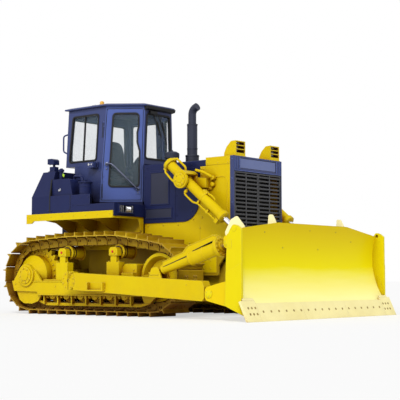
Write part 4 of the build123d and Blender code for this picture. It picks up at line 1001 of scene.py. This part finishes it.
for mark, side in (("right", -1), ("left", 1)):
    root = Vector((925, side * 800, 1996))
    along = Vector((0.77536, 0, -0.63152))
    up = Vector((0.63152, 0, 0.77536))

    def at(s, out, lift):
        """Place beside the barrel: along it, outward from the machine, and above it."""
        return root + along * s + Vector((0, side * out, 0)) + up * lift

    barrel = Form()
    barrel.lathe([(-427, 86), (-422, 92), (-405, 92), (-400, 106), (-372, 106), (-368, 100)], root, along, 36)
    for x, y in ring(8, 78):
        barrel.bolt(at(-427, x, y), -along, 13)
    for s in (-140, 420):
        barrel.band(s, s + 40, 74, 79, 2, root, along, 36)
    barrel.lathe([(862, 90), (866, 94), (918, 94), (924, 84), (930, 56), (934, 44)], root, along, 36)
    for x, y in ring(8, 72, start=0.3):
        barrel.bolt(at(924, x, y), along, 9)
    barrel.pipe([at(-385, -30, 85), at(-385, -40, 125), at(-330, -40, 128), at(-160, -50, 120),
        at(-120, -50, 70)], 17, 40)
    barrel.lathe([(0, 30), (30, 30), (34, 24)], at(-385, -20, 85), up, 16)
    barrel.pipe([at(-370, 60, -75), at(-355, 65, -115), at(-200, 65, -130), at(-100, 60, -125),
        at(-75, 55, -85)], 16, 50)
    barrel.lathe([(0, 32), (24, 32), (30, 24)], at(-385, 55, -70), -up, 16)
    barrel.pipe([at(140, 50, -65), at(140, 55, -140), at(180, 58, -148), at(360, 60, -145), at(430, 55, -108),
        at(840, 50, -100), at(880, 50, -90)], 14, 35)
    barrel.lathe([(0, 26), (46, 26), (50, 20)], at(140, 50, -80), -up, 16)
    for s, out, length, width, low, high in ((420, 30, 30, 40, -120, -60), (640, 30, 30, 40, -120, -60),
            (855, 35, 60, 60, -115, -50), (375, -30, 90, 60, 50, 105)):
        barrel.loft([[at(s + ds, out + dy, lift) for ds, dy in ((0, 0), (length, 0), (length, width),
            (0, width))] for lift in (low, high)])
    barrel.pipe([at(450, 0, 85), at(520, 0, 110), at(600, -20, 100), at(620, -30, 60)], 13, 30)
    for ds, dy in ((390, -18), (390, 18), (450, -18), (450, 18)):
        barrel.bolt(at(ds, dy, 105), up, 8)
    barrel.piece("lift_barrel_trim_" + mark, yellow, "yellow_paint", "lift_barrel_" + mark, soften=3)
    rod_end = Form()
    pin = Vector((2305, side * 800, 872))
    rod_end.band(-52, 52, 46, 52, 4, pin, LEFT, 28)
    rod_end.lathe([(45, 50), (50, 54), (85, 50), (100, 40)], pin, -along, 28)
    rod_end.piece("lift_rod_eye_" + mark, yellow, "yellow_paint", "lift_rod_" + mark, soften=2)
    shaft = Form()
    shaft.band(-60, 60, 30, 33, 3, pin, LEFT, 24)
    shaft.piece("lift_pin_" + mark, chrome, "chrome_rod", "lift_rod_" + mark)
    fork = Form()
    for a in (136, -136):
        face = side * (800 + a)
        way = 1 if side * a > 0 else -1
        fork.lathe([(0, 100), (10, 100), (14, 90), (14, 50), (22, 46)], (925, face, 1996), (0, way, 0), 36)
        for x, z in ring(6, 78, (925, 1996), 0.2):
            fork.bolt((x, face + way * 14, z), (0, way, 0), 11)
    for x, z in ((1070, 2030), (1230, 2030), (1070, 1875), (1230, 1875)):
        fork.bolt((x, side * 623, z), (0, side, 0), 14)
    fork.pipe([(1300, side * 640, 2020), (1300, side * 690, 2040), (1200, side * 720, 2100),
        (1060, side * 740, 2140)], 20, 40)
    fork.lathe([(0, 34), (60, 34), (64, 26)], (1300, side * 600, 2020), (0, side, 0), 18)
    fork.piece("fork_trim_" + mark, yellow, "yellow_paint", soften=2)

# ---------------- tilt cylinder and brace
# The short fat tilt cylinder sits on the right arm under its plate guard; its gland ring is held by
# a ring of bolts. The left side has a plain brace with a threaded end.

low, high = Vector((1018, -1500, 652)), Vector((2314, -1500, 1027))
along = (high - low).normalized()
up = Vector((-along.z, 0, along.x))
trim = Form()
trim.lathe([(1118, 98), (1122, 126), (1130, 132), (1150, 132), (1152, 138), (1186, 138), (1190, 130),
    (1192, 70), (1212, 66), (1214, 46)], low, along, 44)
for x, y in ring(12, 112):
    trim.bolt(low + along * 1190 + Vector((0, x, 0)) + up * y, along, 14)
for s_low, radius in ((100, 66), (630, 96), (880, 96)):
    trim.band(s_low, s_low + 30, radius - 4, radius + 6, 6, low, along, 40)
trim.slab([(1150, 781), (1520, 906), (1560, 935), (1608, 993), (2049, 1129), (2120, 1112), (2117, 1122),
    (2049, 1139), (1600, 1000), (1512, 914), (1147, 790)], -1566, -1434)
for x, z in ((2040, 1134), (2080, 1128), (1620, 1006)):
    for y in (-1545, -1455):
        trim.bolt((x, y, z), up, 12)
trim.piece("tilt_barrel_trim", yellow, "yellow_paint", "tilt_barrel", soften=3)
# A black strip under the guard plate along the cylinder: painted shade in the gap beneath the plate.
guard_gap_shade = Form()
guard_gap_shade.slab([(1160, 722), (1668, 893), (1700, 935), (2050, 1062), (2052, 1054), (1708, 926), (1676, 883),
    (1164, 712)], -1563, -1437)
guard_gap_shade.piece("tilt_guard_gap_shade", rubber, "dark_paint", "tilt_barrel")
tilt_eye = Form()
tilt_eye.band(-46, 46, 56, 60, 3, high, LEFT, 32)
tilt_eye.piece("tilt_rod_eye", yellow, "yellow_paint", "tilt_rod", soften=2)
brace = Form()
low, high = Vector((1018, 1500, 652)), Vector((2314, 1500, 1027))
for s_low, s_high, radius in ((235, 262, 74), (1062, 1090, 74), (200, 232, 62)):
    brace.band(s_low, s_high, radius - 8, radius, 4, low, along, 32 if radius > 70 else 6)
for k in range(7):
    brace.lathe([(120 + 11 * k, 47), (123.5 + 11 * k, 50.5), (127 + 11 * k, 47)], low, along, 24)
brace.piece("brace_trim", yellow, "yellow_paint", "blade", soften=2)
